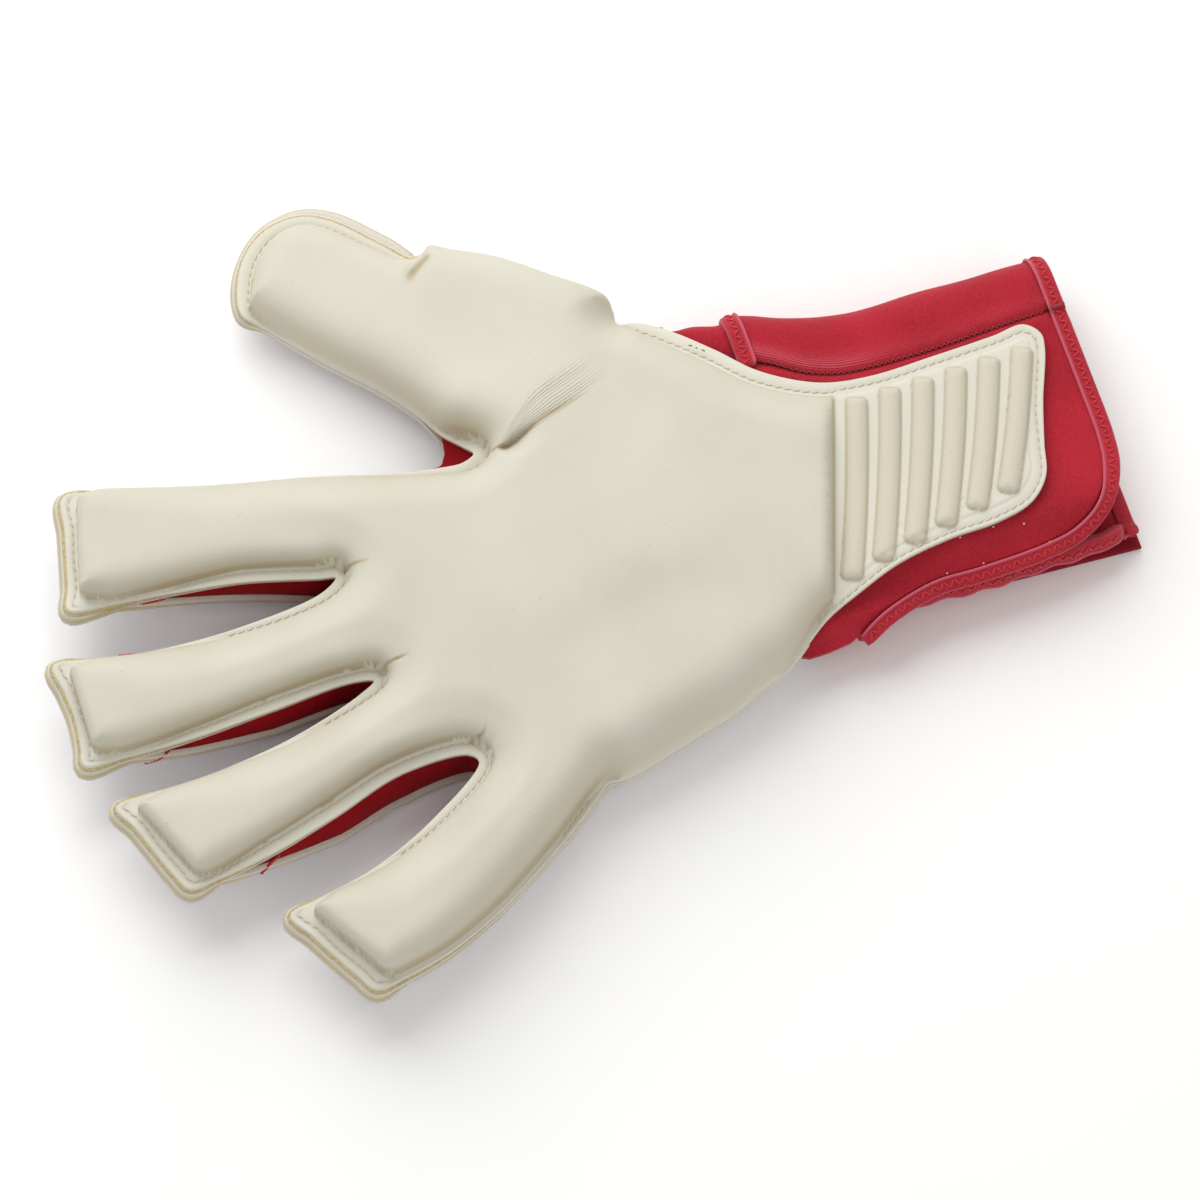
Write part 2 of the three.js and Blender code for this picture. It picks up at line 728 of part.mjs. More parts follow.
function wrapAt(y) {
  const share = (wristY - y) / cuffLength;
  let index = 0;
  while (index + 2 < wrapSections.length && wrapSections[index + 1][0] < share) index += 1;
  const here = wrapSections[index];
  const next = wrapSections[index + 1];
  const t = Math.min(1, Math.max(0, (share - here[0]) / (next[0] - here[0])));
  const eased = t * t * (3 - 2 * t) * 0.3 + t * 0.7;
  const [seam, fold, pinky] = [1, 2, 3].map((column) => {
    return (here[column] + (next[column] - here[column]) * eased) * cuffWidth;
  });
  return { seam, fold, pinky };
}

// The wrap's middle line across the wrist at one y: each point has x, z and the normal that points out
const pinkyTurn = 6; // radius at the little finger's side
const pinkyHeight = 11; // how high the back of the cuff turns up there
function wrapLine(y) {
  const { seam, fold, pinky } = wrapAt(y);
  const radius = (wrapMiddle - wrapFloor) / 2;
  const line = [{ x: seam + seamGap, z: wrapMiddle, nx: 0, nz: 1 }];
  const foldSteps = 6;
  for (let step = 0; step <= foldSteps; step += 1) {
    const angle = (step / foldSteps) * Math.PI;
    const nx = Math.sin(angle);
    const nz = Math.cos(angle);
    line.push({ x: fold - radius + radius * nx, z: wrapFloor + radius + radius * nz, nx, nz });
  }
  const corner = pinky + pinkyTurn;
  const span = fold - radius - corner;
  [0.33, 0.67].forEach((share) => {
    line.push({ x: fold - radius - span * share, z: wrapFloor, nx: 0, nz: -1 });
  });
  const turnSteps = 3;
  for (let step = 0; step <= turnSteps; step += 1) {
    const angle = (step / turnSteps) * (Math.PI / 2);
    const nx = -Math.sin(angle);
    const nz = -Math.cos(angle);
    line.push({ x: corner + pinkyTurn * nx, z: wrapFloor + pinkyTurn + pinkyTurn * nz, nx, nz });
  }
  line.push({ x: pinky, z: pinkyHeight, nx: -1, nz: 0 });
  return line;
}
const foldPoints = 8; // the points of the line from the seam to the bottom of the fold

// The wrap's hand-side edge: behind the hem on top, and at the wrist line underneath
const hemLine = wristY - 0.107 * cuffLength;
const wristGap = 1;
function wrapStart(index) {
  return index < foldPoints ? hemLine : wristY - wristGap;
}

function wrapGeometry() {
  const stations = 9;
  const rings = [];
  for (let station = 0; station <= stations; station += 1) {
    const outer = [];
    const inner = [];
    const count = wrapLine(clothEnd).length;
    for (let index = 0; index < count; index += 1) {
      const y = wrapStart(index) + (clothEnd - wrapStart(index)) * (station / stations);
      const point = wrapLine(y)[index];
      const half = clothThickness / 2;
      outer.push({ x: point.x + point.nx * half, y, z: point.z + point.nz * half });
      inner.push({ x: point.x - point.nx * half, y, z: point.z - point.nz * half });
    }
    rings.push([...outer, ...inner.reverse()]);
  }
  return loftSolid(rings);
}

// Columns: out and face, as shares of a binding's half width and half thickness
const bandSection = [
  [-1, 0],
  [-1, 0.8],
  [0, 1],
  [0.8, 0.7],
  [1, 0],
  [0.8, -0.7],
  [0, -1],
  [-1, -0.8],
];

// A rounded band along a path: out is the way that it stands off its cloth, face the cloth's own normal
function bandSolid(path) {
  const wide = bindingWidth / 2;
  const thick = bindingThickness / 2;
  return loftSolid(
    path.map(({ at, out, face }) =>
      bandSection.map(([a, b]) => at.clone().addScaledVector(out, a * wide).addScaledVector(face, b * thick)),
    ),
  );
}

// The panel's outline. Its free edge runs up the little finger's side from a round corner at the cuff's end
// Columns: x as a share of the cuff's width, y as a share of its length
const panelFreeEdge = [
  [-0.08, 0.952],
  [-0.2, 0.93],
  [-0.295, 0.868],
  [-0.338, 0.75],
  [-0.353, 0.57],
  [-0.36, 0.34],
  [-0.382, 0.21],
  [-0.42, 0.115],
];
const panelHandEdge = [
  [-0.4, 0.075],
  [-0.28, 0.05],
  [0.05, 0.02],
  [0.38, 0.03],
];

function panelOutline() {
  const start = wrapStart(0) + 2;
  const seamSteps = 14;
  const seam = Array.from({ length: seamSteps + 1 }, (_, index) => {
    const y = clothEnd + ((start - clothEnd) * index) / seamSteps;
    return { x: wrapAt(y).seam - seamGap, y };
  });
  const smooth = (rows, step) => {
    const places = rows.map((p) => new THREE.Vector3(p.x, p.y, 0));
    const curve = new THREE.CatmullRomCurve3(places, false, "centripetal");
    return curve.getSpacedPoints(Math.round(curve.getLength() / step)).map(({ x, y }) => ({ x, y }));
  };
  const end = [0.36, 0.24, 0.12, 0.02].map((x) => ({ x: x * cuffWidth, y: clothEnd }));
  const freeRows = [end[end.length - 1], ...panelFreeEdge.map(([x, y]) => cuffPoint(x, y))];
  const free = smooth(freeRows, outlineStep).slice(1);
  const hand = smooth(panelHandEdge.map(([x, y]) => cuffPoint(x, y)), outlineStep * 2);
  const outline = [...seam, ...hand.reverse(), ...[...free].reverse(), ...end.reverse()];
  return { outline, bound: [{ x: seam[0].x - 1, y: clothEnd }, ...end.reverse(), ...free] };
}
const panel = panelOutline();

// The panel keeps level with the wrap, and dips where the palm's rolled heel comes down on it
function panelSurface(x, y) {
  const underWelt = nearEdge(palmOutline, x, y).edge - weltThickness - 2 * seamGap;
  return Math.min(panelTop, underWelt);
}

function panelGeometry() {
  const outline = panel.outline.map((p) => ({ ...p, edge: panelSurface(p.x, p.y), wall: clothThickness }));
  const inner = innerPoints(outline, [5], 11);
  return sheetSolid(outline, panelSurface, (x, y) => panelSurface(x, y) - clothThickness, inner, inner);
}

const up = new THREE.Vector3(0, 0, 1);

function panelBindingGeometry() {
  const { bound } = panel;
  const path = bound.map((point, index) => {
    const before = bound[Math.max(0, index - 1)];
    const after = bound[Math.min(bound.length - 1, index + 1)];
    const out = new THREE.Vector3(before.y - after.y, after.x - before.x, 0).normalize();
    const reach = seamGap + bindingWidth / 2;
    const z = panelSurface(point.x, point.y) - clothThickness / 2;
    return { at: new THREE.Vector3(point.x, point.y, z).addScaledVector(out, reach), out, face: up };
  });
  return bandSolid(path);
}

// Bindings on the wrap: at its end all the way round, and at its hem from the seam round the fold
function wrapBindingGeometry(fromIndex, toIndex, edgeAt, way) {
  const path = [];
  for (let index = fromIndex; index <= toIndex; index += 1) {
    const y = edgeAt(index);
    const point = wrapLine(y)[index];
    const reach = seamGap + bindingWidth / 2;
    path.push({
      at: new THREE.Vector3(point.x, y + way * reach, point.z),
      out: new THREE.Vector3(0, way, 0),
      face: new THREE.Vector3(point.nx, 0, point.nz),
    });
  }
  return bandSolid(path);
}

function slitBindingGeometry() {
  const steps = 12;
  const start = wristY - 0.13 * cuffLength;
  const path = Array.from({ length: steps + 1 }, (_, index) => {
    const y = start + ((clothEnd + bindingWidth - start) * index) / steps;
    const line = wrapLine(y);
    const edge = line[line.length - 1];
    return {
      at: new THREE.Vector3(edge.x, y, edge.z + seamGap + bindingWidth / 2),
      out: up,
      face: new THREE.Vector3(-1, 0, 0),
    };
  });
  return bandSolid(path);
}

// A small gore closes the side of the wrist between the hem and the palm
// Columns: share of the way from the hem to the palm's edge, x as a share of the cuff's width
const goreRows = [
  [0, 0.714],
  [0.3, 0.726],
  [0.65, 0.73],
  [1, 0.722],
];
function goreGeometry() {
  const foot = wrapFloor + clothThickness;
  const top = weltHeight * 0.8;
  const hemSide = hemLine + bindingWidth + 2 * seamGap;
  const palmSide = cuffPoint(0, -0.085).y;
  return loftSolid(
    goreRows.map(([share, across]) => {
      const x = across * cuffWidth;
      const y = hemSide + (palmSide - hemSide) * share;
      const inner = x - gussetThickness;
      return [{ x, y, z: foot }, { x, y, z: top }, { x: inner, y, z: top }, { x: inner, y, z: foot }];
    }),
  );
}

// The strap lies flat under the cuff, and its corner reaches past the cuff's end
// Columns: x as a share of the cuff's width, y as a share of its length
const strapCorners = [
  [0.5, 1],
  [0.5, 0.33],
  [-0.35, 0.33],
  [-0.388, 1],
];
function strapGeometry() {
  const rows = strapCorners.map(([x, y]) => cuffPoint(x, y));
  const outline = [];
  rows.forEach((here, index) => {
    const next = rows[(index + 1) % rows.length];
    const pieces = Math.round(Math.hypot(next.x - here.x, next.y - here.y) / (outlineStep * 3));
    for (let piece = 0; piece < pieces; piece += 1) {
      const share = piece / pieces;
      outline.push({
        x: here.x + (next.x - here.x) * share,
        y: here.y + (next.y - here.y) * share,
        edge: strapThickness, wall: strapThickness,
      });
    }
  });
  const inner = innerPoints(outline, [outlineStep * 2], underGrid * 1.7);
  return sheetSolid(outline, () => strapThickness, () => 0, inner, inner);
}

// Finishes
const finish = (color, roughness) => new THREE.MeshStandardMaterial({ color, roughness, metalness: 0 });
const latex = finish(0xe2e0d2, 0.75);
const backhandCloth = finish(0xdad6d6, 0.85);
const gussetMesh = finish(0x8c1018, 0.9);
const cuffKnit = finish(0xb8273a, 0.85);
const bindingTape = finish(0xc23a4c, 0.8);
const strapCloth = finish(0x8f1722, 0.85);

const glove = new THREE.Group();

function addPiece(name, geometry, material) {
  const mesh = new THREE.Mesh(geometry, material);
  mesh.name = name;
  glove.add(mesh);
}

addPiece("palm", palmGeometry(), latex);
addPiece("backhand", backGeometry(), backhandCloth);
const gussetNames = ["gusset_thumb_index", "gusset_index_middle", "gusset_middle_ring", "gusset_ring_little"];
gussetRuns().forEach(({ from, to }, index) => {
  addPiece(gussetNames[index], gussetGeometry(from, to), gussetMesh);
});
addPiece("wrist_panel", panelGeometry(), cuffKnit);
addPiece("cuff_wrap", wrapGeometry(), cuffKnit);
addPiece("panel_binding", panelBindingGeometry(), bindingTape);
const lastPoint = wrapLine(clothEnd).length - 1;
addPiece("cuff_end_binding", wrapBindingGeometry(0, lastPoint, () => clothEnd, -1), bindingTape);
addPiece("wrap_hem", wrapBindingGeometry(0, foldPoints - 2, () => hemLine, 1), bindingTape);
addPiece("slit_binding", slitBindingGeometry(), bindingTape);
addPiece("thumb_gore", goreGeometry(), cuffKnit);
addPiece("closure_strap", strapGeometry(), strapCloth);

// The glove's frame: the middle of its footprint, on the surface that it lies on
const bounds = new THREE.Box3().setFromObject(glove);
glove.position.set(-(bounds.min.x + bounds.max.x) / 2, -(bounds.min.y + bounds.max.y) / 2, -bounds.min.z);

export default glove;
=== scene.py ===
import math
import bpy
import bmesh
import numpy as np
from mathutils import Matrix, Vector, geometry


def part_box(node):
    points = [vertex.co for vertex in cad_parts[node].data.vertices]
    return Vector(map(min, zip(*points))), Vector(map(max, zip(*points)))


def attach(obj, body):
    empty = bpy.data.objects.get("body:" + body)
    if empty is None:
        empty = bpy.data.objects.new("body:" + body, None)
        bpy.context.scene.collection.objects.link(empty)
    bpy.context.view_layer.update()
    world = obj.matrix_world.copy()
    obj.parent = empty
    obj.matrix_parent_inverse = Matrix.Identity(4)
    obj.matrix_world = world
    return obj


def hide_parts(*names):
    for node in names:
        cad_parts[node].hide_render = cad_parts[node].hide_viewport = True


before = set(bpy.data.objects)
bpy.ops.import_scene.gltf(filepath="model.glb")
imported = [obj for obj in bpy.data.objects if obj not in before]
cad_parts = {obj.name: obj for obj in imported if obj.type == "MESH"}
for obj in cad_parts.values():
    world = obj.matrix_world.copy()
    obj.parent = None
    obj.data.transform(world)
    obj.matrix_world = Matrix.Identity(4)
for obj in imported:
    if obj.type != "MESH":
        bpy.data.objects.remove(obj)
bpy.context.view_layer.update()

# A goalkeeper glove that lies palm up on a pale floor. Blender's lengths are metres,
# and the tables and fields below are millimetres, as on the pattern that the glove is cut from.

metre = 0.001  # one millimetre of the pattern in Blender's units
scene = bpy.context.scene

cameraValues = {
    "target": (-24.7, 1.4, 22.0),  # the point in the middle of the picture
    "lean": 20.0,  # degrees off straight down, towards the little finger's side
    "tilt": 18.0,  # degrees that the glove is turned in the picture
    "distance": 1200.0,
    "pixel": 0.262,  # millimetres per pixel at the target
    "pixelsAcross": 1200,
    "sensor": 36.0,
    "farthest": 20,
}


def aimCamera():
    lean = math.radians(cameraValues["lean"])
    tilt = math.radians(cameraValues["tilt"])
    forward = Vector((math.sin(lean) * math.cos(tilt), -math.sin(lean) * math.sin(tilt), -math.cos(lean)))
    right = Vector((-math.sin(tilt), -math.cos(tilt), 0))
    upward = right.cross(forward)
    target = Vector(cameraValues["target"])
    place = (target - forward * cameraValues["distance"]) * metre
    data = bpy.data.cameras.new("photoCamera")
    data.sensor_width = cameraValues["sensor"]
    seen = cameraValues["pixelsAcross"] * cameraValues["pixel"]
    data.lens = cameraValues["sensor"] * cameraValues["distance"] / seen
    data.clip_end = cameraValues["farthest"]
    camera = bpy.data.objects.new("photoCamera", data)
    turn = Matrix((right, upward, -forward)).transposed()
    camera.matrix_world = Matrix.Translation(place) @ turn.to_4x4()
    scene.collection.objects.link(camera)
    scene.camera = camera
    return right, upward


pictureRight, pictureUp = aimCamera()
print("camera set")

patternValues = {
    "palmWidth": 107.0, "palmLength": 118.0, "fingerWidth": 30.0,
    "thumbLength": 70.0, "thumbWidth": 42.0, "thumbAngle": 38.7,
    "cuffLength": 94.5, "cuffWidth": 84.0,
    "weltHeight": 22.0, "palmCrown": 34.0, "tipLift": 11.0,
    "weltThickness": 2.0, "padThickness": 5.0, "backThickness": 2.6,
    "gussetHeight": 16.0, "clothThickness": 2.0, "strapThickness": 2.0,
    "bindingWidth": 4.2, "bindingThickness": 3.2, "seamGap": 0.3,
    "outlineStep": 1.25,
}
pv = patternValues
wristY = -0.356 * pv["palmLength"]


def handPoint(x, y):
    return (x * pv["palmWidth"], y * pv["palmLength"])


def cuffPoint(x, y):
    return (x * pv["cuffWidth"], wristY - y * pv["cuffLength"])


def thumbPoint(along, across):
    sin, cos = math.sin(math.radians(pv["thumbAngle"])), math.cos(math.radians(pv["thumbAngle"]))
    rootX, rootY = handPoint(0.673, 0.136)
    a, b = along * pv["thumbLength"], across * pv["thumbWidth"]
    return (rootX + a * sin + b * cos, rootY + a * cos - b * sin)


# Rows of the palm's outline: x, y, edge height share, roll, welt width
tongueThumbSide = [
    (0.256, 0.892, 1.09, 0, 3.6), (0.31, 0.897, 1.09, 0, 3.6), (0.354, 0.86, 1.09, 0, 3.6),
    (0.346, 0.768, 1.09, 0, 3.6), (0.339, 0.592, 1.09, 0, 3.6), (0.336, 0.394, 1.09, 0, 3.7),
    (0.364, 0.254, 1.09, 0, 3.9), (0.464, 0.106, 1.05, 0, 4.2), (0.586, 0.008, 0.98, 0, 4.4),
    (0.702, -0.091, 0.88, 0, 4.4), (0.768, -0.17, 0.82, 0.15, 3.6), (0.79, -0.222, 0.76, 0.75, 2.0),
]
thumbRows = [
    (-0.4, 0.583, 0.6, 1, 0, 0, 1), (-0.15, 0.598, 0.59, 1, 0, 0, 1), (0.057, 0.6, 0.59, 1, 0, 0, 1),
    (0.249, 0.555, 0.59, 1, 0, 0, 1), (0.339, 0.533, 0.62, 0.8, 0, 0, 1.6),
    (0.381, 0.424, 0.65, 0.2, 0, 2.5, 2.6), (0.514, 0.443, 0.67, 0, 0, 3.5, 2.8),
    (0.739, 0.481, 0.69, 0, 0, 3.5, 3), (0.853, 0.438, 0.69, 0, 0, 3, 3.2),
    (0.954, 0.271, 0.69, 0, 0, 2, 3.6), (0.987, 0.055, 0.69, 0, 0, 1.5, 4),
    (0.961, -0.171, 0.69, 0, 0, 1.5, 4), (0.906, -0.324, 0.68, 0.1, 0, 1, 3.4),
    (0.819, -0.336, 0.6, 0.7, 0, 0, 1.6), (0.523, -0.424, 0.56, 1, 0, 0, 1),
    (0.301, -0.481, 0.6, 1, 0, 0, 1), (0.114, -0.569, 0.64, 1, 0, 0, 1),
    (0.006, -0.648, 0.71, 0.7, 0.25, 0, 1.8), (-0.099, -0.698, 0.82, 0.1, 0.8, 0, 3.6),
]
thumbCrotch = [
    (0.377, 0.231, 1, 0, 1, 4.2), (0.364, 0.262, 0.98, 0, 0.8, 3.6), (0.373, 0.316, 0.93, 0, 0.3, 2.6),
    (0.395, 0.403, 0.87, 0, 0, 1.8),
]
fingerCrotches = [(0.171, 0.612), (-0.114, 0.602), (-0.364, 0.455)]
littleRoot = [
    (-0.609, 0.296, 0.6, 0, 1.6), (-0.546, 0.218, 0.58, 0, 1.8), (-0.51, 0.176, 0.57, 0.5, 1.6),
    (-0.512, 0.131, 0.55, 1, 1), (-0.493, 0.053, 0.55, 1, 1), (-0.462, -0.05, 0.55, 1, 1),
    (-0.434, -0.152, 0.59, 1, 1), (-0.404, -0.212, 0.64, 1, 1),
]
tonguePinkySide = [
    (-0.481, -0.09, 0.73, 0.8, 2), (-0.378, 0.053, 0.91, 0.3, 2.6), (-0.331, 0.161, 1, 0, 3.2),
    (-0.284, 0.292, 1.09, 0, 3.6), (-0.256, 0.449, 1.09, 0, 3.6), (-0.249, 0.597, 1.09, 0, 3.6),
    (-0.219, 0.702, 1.09, 0, 3.6), (-0.152, 0.764, 1.09, 0, 3.8), (-0.05, 0.792, 1.09, 0, 3.8),
    (0.092, 0.834, 1.09, 0, 3.6),
]
fingerShapes = [
    {"name": "index", "root": (0.335, 0.631), "length": 62.0, "lean": 8.4, "bow": 0.0,
     "widths": (0.95, 1, 1.07),
     "gussets": (0, 1), "thumbEdge": (0.84, 0.76, 0.95), "pinkyEdge": (1, 1, 1)},
    {"name": "middle", "root": (0.021, 0.653), "length": 71.0, "lean": -0.3, "bow": 0.027,
     "widths": (0.86, 0.83, 1.04), "gussets": (1, 1), "thumbEdge": (1, 1, 1.03), "pinkyEdge": (1, 1, 1.03)},
    {"name": "ring", "root": (-0.252, 0.627), "length": 63.5, "lean": -10.6, "bow": 0.033,
     "widths": (0.81, 0.83, 1.05), "gussets": (1, 1), "thumbEdge": (1, 1, 1.03), "pinkyEdge": (1, 1, 1.03)},
    {"name": "little", "root": (-0.516, 0.389), "length": 60.0, "lean": -23.2, "bow": 0.065,
     "widths": (0.97, 0.93, 1.01), "gussets": (1, 0), "thumbEdge": (1, 1, 0.96),
     "pinkyEdge": (0.62, 0.71, 0.93)},
]
sideStations = (0, 0.32, 0.62, 0.86, 1)
# for each finger, at the stations: the welt's width, the roll and how softly the pad rises
thumbSides = {
    "index": ((1.6, 1.0, 0.6, 0.6, 2.2), (0.5, 0.8, 0.85, 0.6, 0), (0.5, 0.3, 0, 0, 0)),
    "middle": ((2.8, 2.1, 1.1, 0.6, 2.4), (0, 0.1, 0.5, 0.8, 0), (0.5, 0.7, 0.2, 0, 0)),
    "ring": ((2.6, 1.7, 0.8, 0.6, 2.4), (0, 0.3, 0.7, 0.8, 0), (0.5, 0.7, 0.2, 0, 0)),
    "little": ((3.0, 2.5, 1.7, 0.9, 2.4), (0, 0, 0.3, 0.7, 0), (0.5, 0.8, 0.3, 0, 0)),
}
pinkySides = {
    "index": ((3.0, 3.0, 1.4, 0.6, 2.0), (0, 0, 0, 0.4, 0), (0, 0, 0, 0, 0)),
    "middle": ((2.6, 3.2, 2.2, 1.0, 2.4), (0, 0, 0, 0.2, 0), (0, 0, 0, 0, 0)),
    "ring": ((3.4, 4.0, 3.4, 1.5, 2.4), (0, 0, 0, 0.1, 0), (0, 0, 0, 0, 0)),
    "little": ((1.3, 1.1, 1.0, 1.1, 2.4), (0, 0, 0, 0, 0), (0, 0, 0, 0, 0)),
}
# how far the back's edge shows past the gusset, at the stations
backSteps = {"index": (0.2, 0.6, 0.6, 0.2), "middle": (0.8, 2.3, 1.7, 0.3), "ring": (2.3, 2.9, 1.4, 0.2)}
tipValues = {"corner": 2.4, "from": 0.8}  # the pad's rounded corners, and where its squared end begins
# for each finger: steps out at the stations of the thumb side and of the other one, then how far
# the tip's two corners and its middle reach, and how far before them the pad ends
tipShapes = {
    "index": ((-0.6, 0.4, 1.4, 2.2, 1.6), (2.2, -0.6, -1.2, -1.4, -1.8), (1.0, 2.2, 3.6), 3.1),
    "middle": ((0, 0, 0, 0, -0.2), (0, 0, 0, -1.2, -2.4), (1.2, -0.3, 1.2), 3.2),
    "ring": ((0, 0, 0, -0.7, -0.8), (-0.4, 0, 0, -1.2, -2.3), (5.2, 1.9, -1.5), 3.5),
    "little": ((0, 0, 0, 0, 0), (0, 0, 0, -0.8, -1.4), (3.1, 1.3, -1.0), 4.0),
}


def throughThree(values, t):
    first, middle, last = values
    return first * (2 * t - 1) * (t - 1) + middle * 4 * t * (1 - t) + last * t * (2 * t - 1)


def fingerPoint(finger, t, side):
    angle = math.radians(finger["lean"])
    along = (math.sin(angle), math.cos(angle))
    across = (-along[1], along[0])
    rootX, rootY = handPoint(*finger["root"])
    bow = finger["bow"] * finger["length"] * 4 * t * (1 - t)
    offset = bow + side * pv["fingerWidth"] * throughThree(finger["widths"], t) / 2
    reach = finger["length"] * t
    return (rootX + along[0] * reach + across[0] * offset, rootY + along[1] * reach + across[1] * offset)


def outlineRow(point, edge, roll=0.0, opening=0.0, over=0.0, welt=3.6, soft=0.0, layers=0.0, tight=0.0):
    # layers says how far the cut edge's foam and lining step out, and tight how sharply the pad rises
    return (*point, edge * pv["weltHeight"], roll, opening * pv["gussetHeight"], over, welt, soft, layers,
            tight)


def fingerSide(finger, side, trimmed):
    edges = finger["thumbEdge"] if side < 0 else finger["pinkyEdge"]
    gusset = finger["gussets"][0 if side < 0 else 1]
    welts, rolls, softs = (thumbSides if side < 0 else pinkySides)[finger["name"]]
    rows = []
    outward, otherward, reaches, _ = tipShapes[finger["name"]]
    angle = math.radians(finger["lean"])
    for i, (t, welt, roll, soft) in enumerate(zip(sideStations, welts, rolls, softs)):
        opening = gusset * 0.9 * max(0, 1 - t / 0.74) ** 0.8
        over = 1.6 if t == 1 else 0
        layers = t ** 3 if gusset else max(0.15 * (side > 0), t ** 1.5)
        if gusset and side > 0 and t < 0.9:
            over = backSteps[finger["name"]][i]
        if not gusset and side > 0 and t < 1:
            over = 0.2
        edge = throughThree(edges, t)
        x, y = fingerPoint(finger, t, side)
        step = (outward if side < 0 else otherward)[i] * side * trimmed
        reach = (reaches[0] if side < 0 else reaches[2]) * (t == 1) * trimmed
        place = (x - math.cos(angle) * step + math.sin(angle) * reach,
                 y + math.sin(angle) * step + math.cos(angle) * reach)
        tight = max(t ** 7, 0.65 * gusset * max(0, 1 - t / 0.3))
        rows.append(outlineRow(place, edge, roll, opening, over, welt, soft, layers, tight))
    return rows


def fingerRows(finger, trimmed):
    edge = (finger["thumbEdge"][2] + finger["pinkyEdge"][2]) / 2
    angle = math.radians(finger["lean"])
    first, middle, last = tipShapes[finger["name"]][2]
    tip = []
    for side, welt, hollow in ((-0.5, 2.7, 0.8), (0, 2.2, 1.6), (0.5, 2.7, 0.8)):
        reach = -hollow
        if trimmed:
            reach = middle if side == 0 else (first if side < 0 else last) * 0.45 + middle * 0.55
        x, y = fingerPoint(finger, 1, side)
        place = (x + math.sin(angle) * reach, y + math.cos(angle) * reach)
        tip.append(outlineRow(place, edge, 0, 0, 1.6, welt, 0, 1, 1))
    return fingerSide(finger, -1, trimmed) + tip + fingerSide(finger, 1, trimmed)[::-1]


def palmRows(trimmed=1):
    rows = [outlineRow(cuffPoint(x, y), edge, roll, 0, 0, welt, 0.7 * (y < 0.3))
            for x, y, edge, roll, welt in tongueThumbSide]
    rows += [outlineRow(thumbPoint(a, b), edge, roll, o, over, w, 0, min(1, over / 2))
             for a, b, edge, roll, o, over, w in thumbRows]
    rows += [outlineRow(handPoint(x, y), edge, roll, o, 0, w, 0.3) for x, y, edge, roll, o, w in thumbCrotch]
    for index, finger in enumerate(fingerShapes):
        rows += fingerRows(finger, trimmed)
        if index < len(fingerCrotches):
            rows.append(outlineRow(handPoint(*fingerCrotches[index]), 1, 0, 1, 0.2, 3.6, 0.3, 0, 0.65))
    rows += [outlineRow(handPoint(x, y), edge, roll, 0, 0.4 * (1 - roll), w, 0, 0.15 * (1 - roll))
             for x, y, edge, roll, w in littleRoot]
    rows += [outlineRow(cuffPoint(x, y), edge, roll, 0, 0, welt) for x, y, edge, roll, welt in tonguePinkySide]
    return np.array(rows)


def traceOutline(rows, step):
    # a closed centripetal curve through the rows, about a step apart
    count = len(rows)
    traced = []
    for i in range(count):
        p = [rows[(i + k - 1) % count] for k in range(4)]
        gaps = [max(1e-4, float(np.linalg.norm(p[k + 1][:3] - p[k][:3]))) ** 0.5 for k in range(3)]
        start = (p[1] - p[0]) / gaps[0] - (p[2] - p[0]) / (gaps[0] + gaps[1]) + (p[2] - p[1]) / gaps[1]
        end = (p[2] - p[1]) / gaps[1] - (p[3] - p[1]) / (gaps[1] + gaps[2]) + (p[3] - p[2]) / gaps[2]
        start, end = start * gaps[1], end * gaps[1]
        pieces = max(1, round(math.hypot(p[2][0] - p[1][0], p[2][1] - p[1][1]) / step))
        for piece in range(pieces):
            t = piece / pieces
            curve = (p[1] + start * t + (-3 * p[1] + 3 * p[2] - 2 * start - end) * t * t
                     + (2 * p[1] - 2 * p[2] + start + end) * t ** 3)
            place = p[1] + (p[2] - p[1]) * t
            place[:3] = curve[:3]
            traced.append(place)
    return np.array(traced)


def outwardNormals(outline):
    along = np.roll(outline[:, :2], -1, axis=0) - np.roll(outline[:, :2], 1, axis=0)
    along /= np.linalg.norm(along, axis=1)[:, None]
    return np.stack([along[:, 1], -along[:, 0]], axis=1)


palmOutline = traceOutline(palmRows(), pv["outlineStep"])
palmOut = outwardNormals(palmOutline)
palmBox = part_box("palm")
untrimmed = traceOutline(palmRows(0), pv["outlineStep"])
shift = Vector((palmBox[0][0] / metre - untrimmed[:, 0].min(),
                palmBox[0][1] / metre - untrimmed[:, 1].min(), 0))
print("pattern traced,", len(palmOutline), "points, shift", tuple(round(v, 2) for v in shift))


def inRow(x, y, z):
    return ((x + shift.x) * metre, (y + shift.y) * metre, z * metre)


def nearEdge(outline, points):
    # distance inside the outline, then the outline's own columns weighted by nearness
    points = np.asarray(points, dtype=float)
    a = outline[:, :2]
    b = np.roll(a, -1, axis=0)
    span = b - a
    square = (span ** 2).sum(axis=1)
    found = np.zeros((len(points), 1 + outline.shape[1] - 2))
    for first in range(0, len(points), 1500):
        block = points[first:first + 1500]
        toA = block[:, None, :] - a[None, :, :]
        share = np.clip((toA * span[None]).sum(axis=2) / square[None], 0, 1)
        gap = np.linalg.norm(toA - share[..., None] * span[None], axis=2).min(axis=1)
        crosses = (a[None, :, 1] > block[:, None, 1]) != (b[None, :, 1] > block[:, None, 1])
        rise = np.where(span[:, 1] == 0, 1e-9, span[:, 1])
        reach = a[None, :, 0] + (block[:, None, 1] - a[None, :, 1]) * span[None, :, 0] / rise[None]
        inside = (crosses & (block[:, None, 0] < reach)).sum(axis=1) % 2 == 1
        weight = 1 / ((toA ** 2).sum(axis=2) ** 1.75 + 0.01)
        found[first:first + 1500, 0] = np.where(inside, gap, -gap)
        found[first:first + 1500, 1:] = weight @ outline[:, 2:] / weight.sum(axis=1)[:, None]
    return found


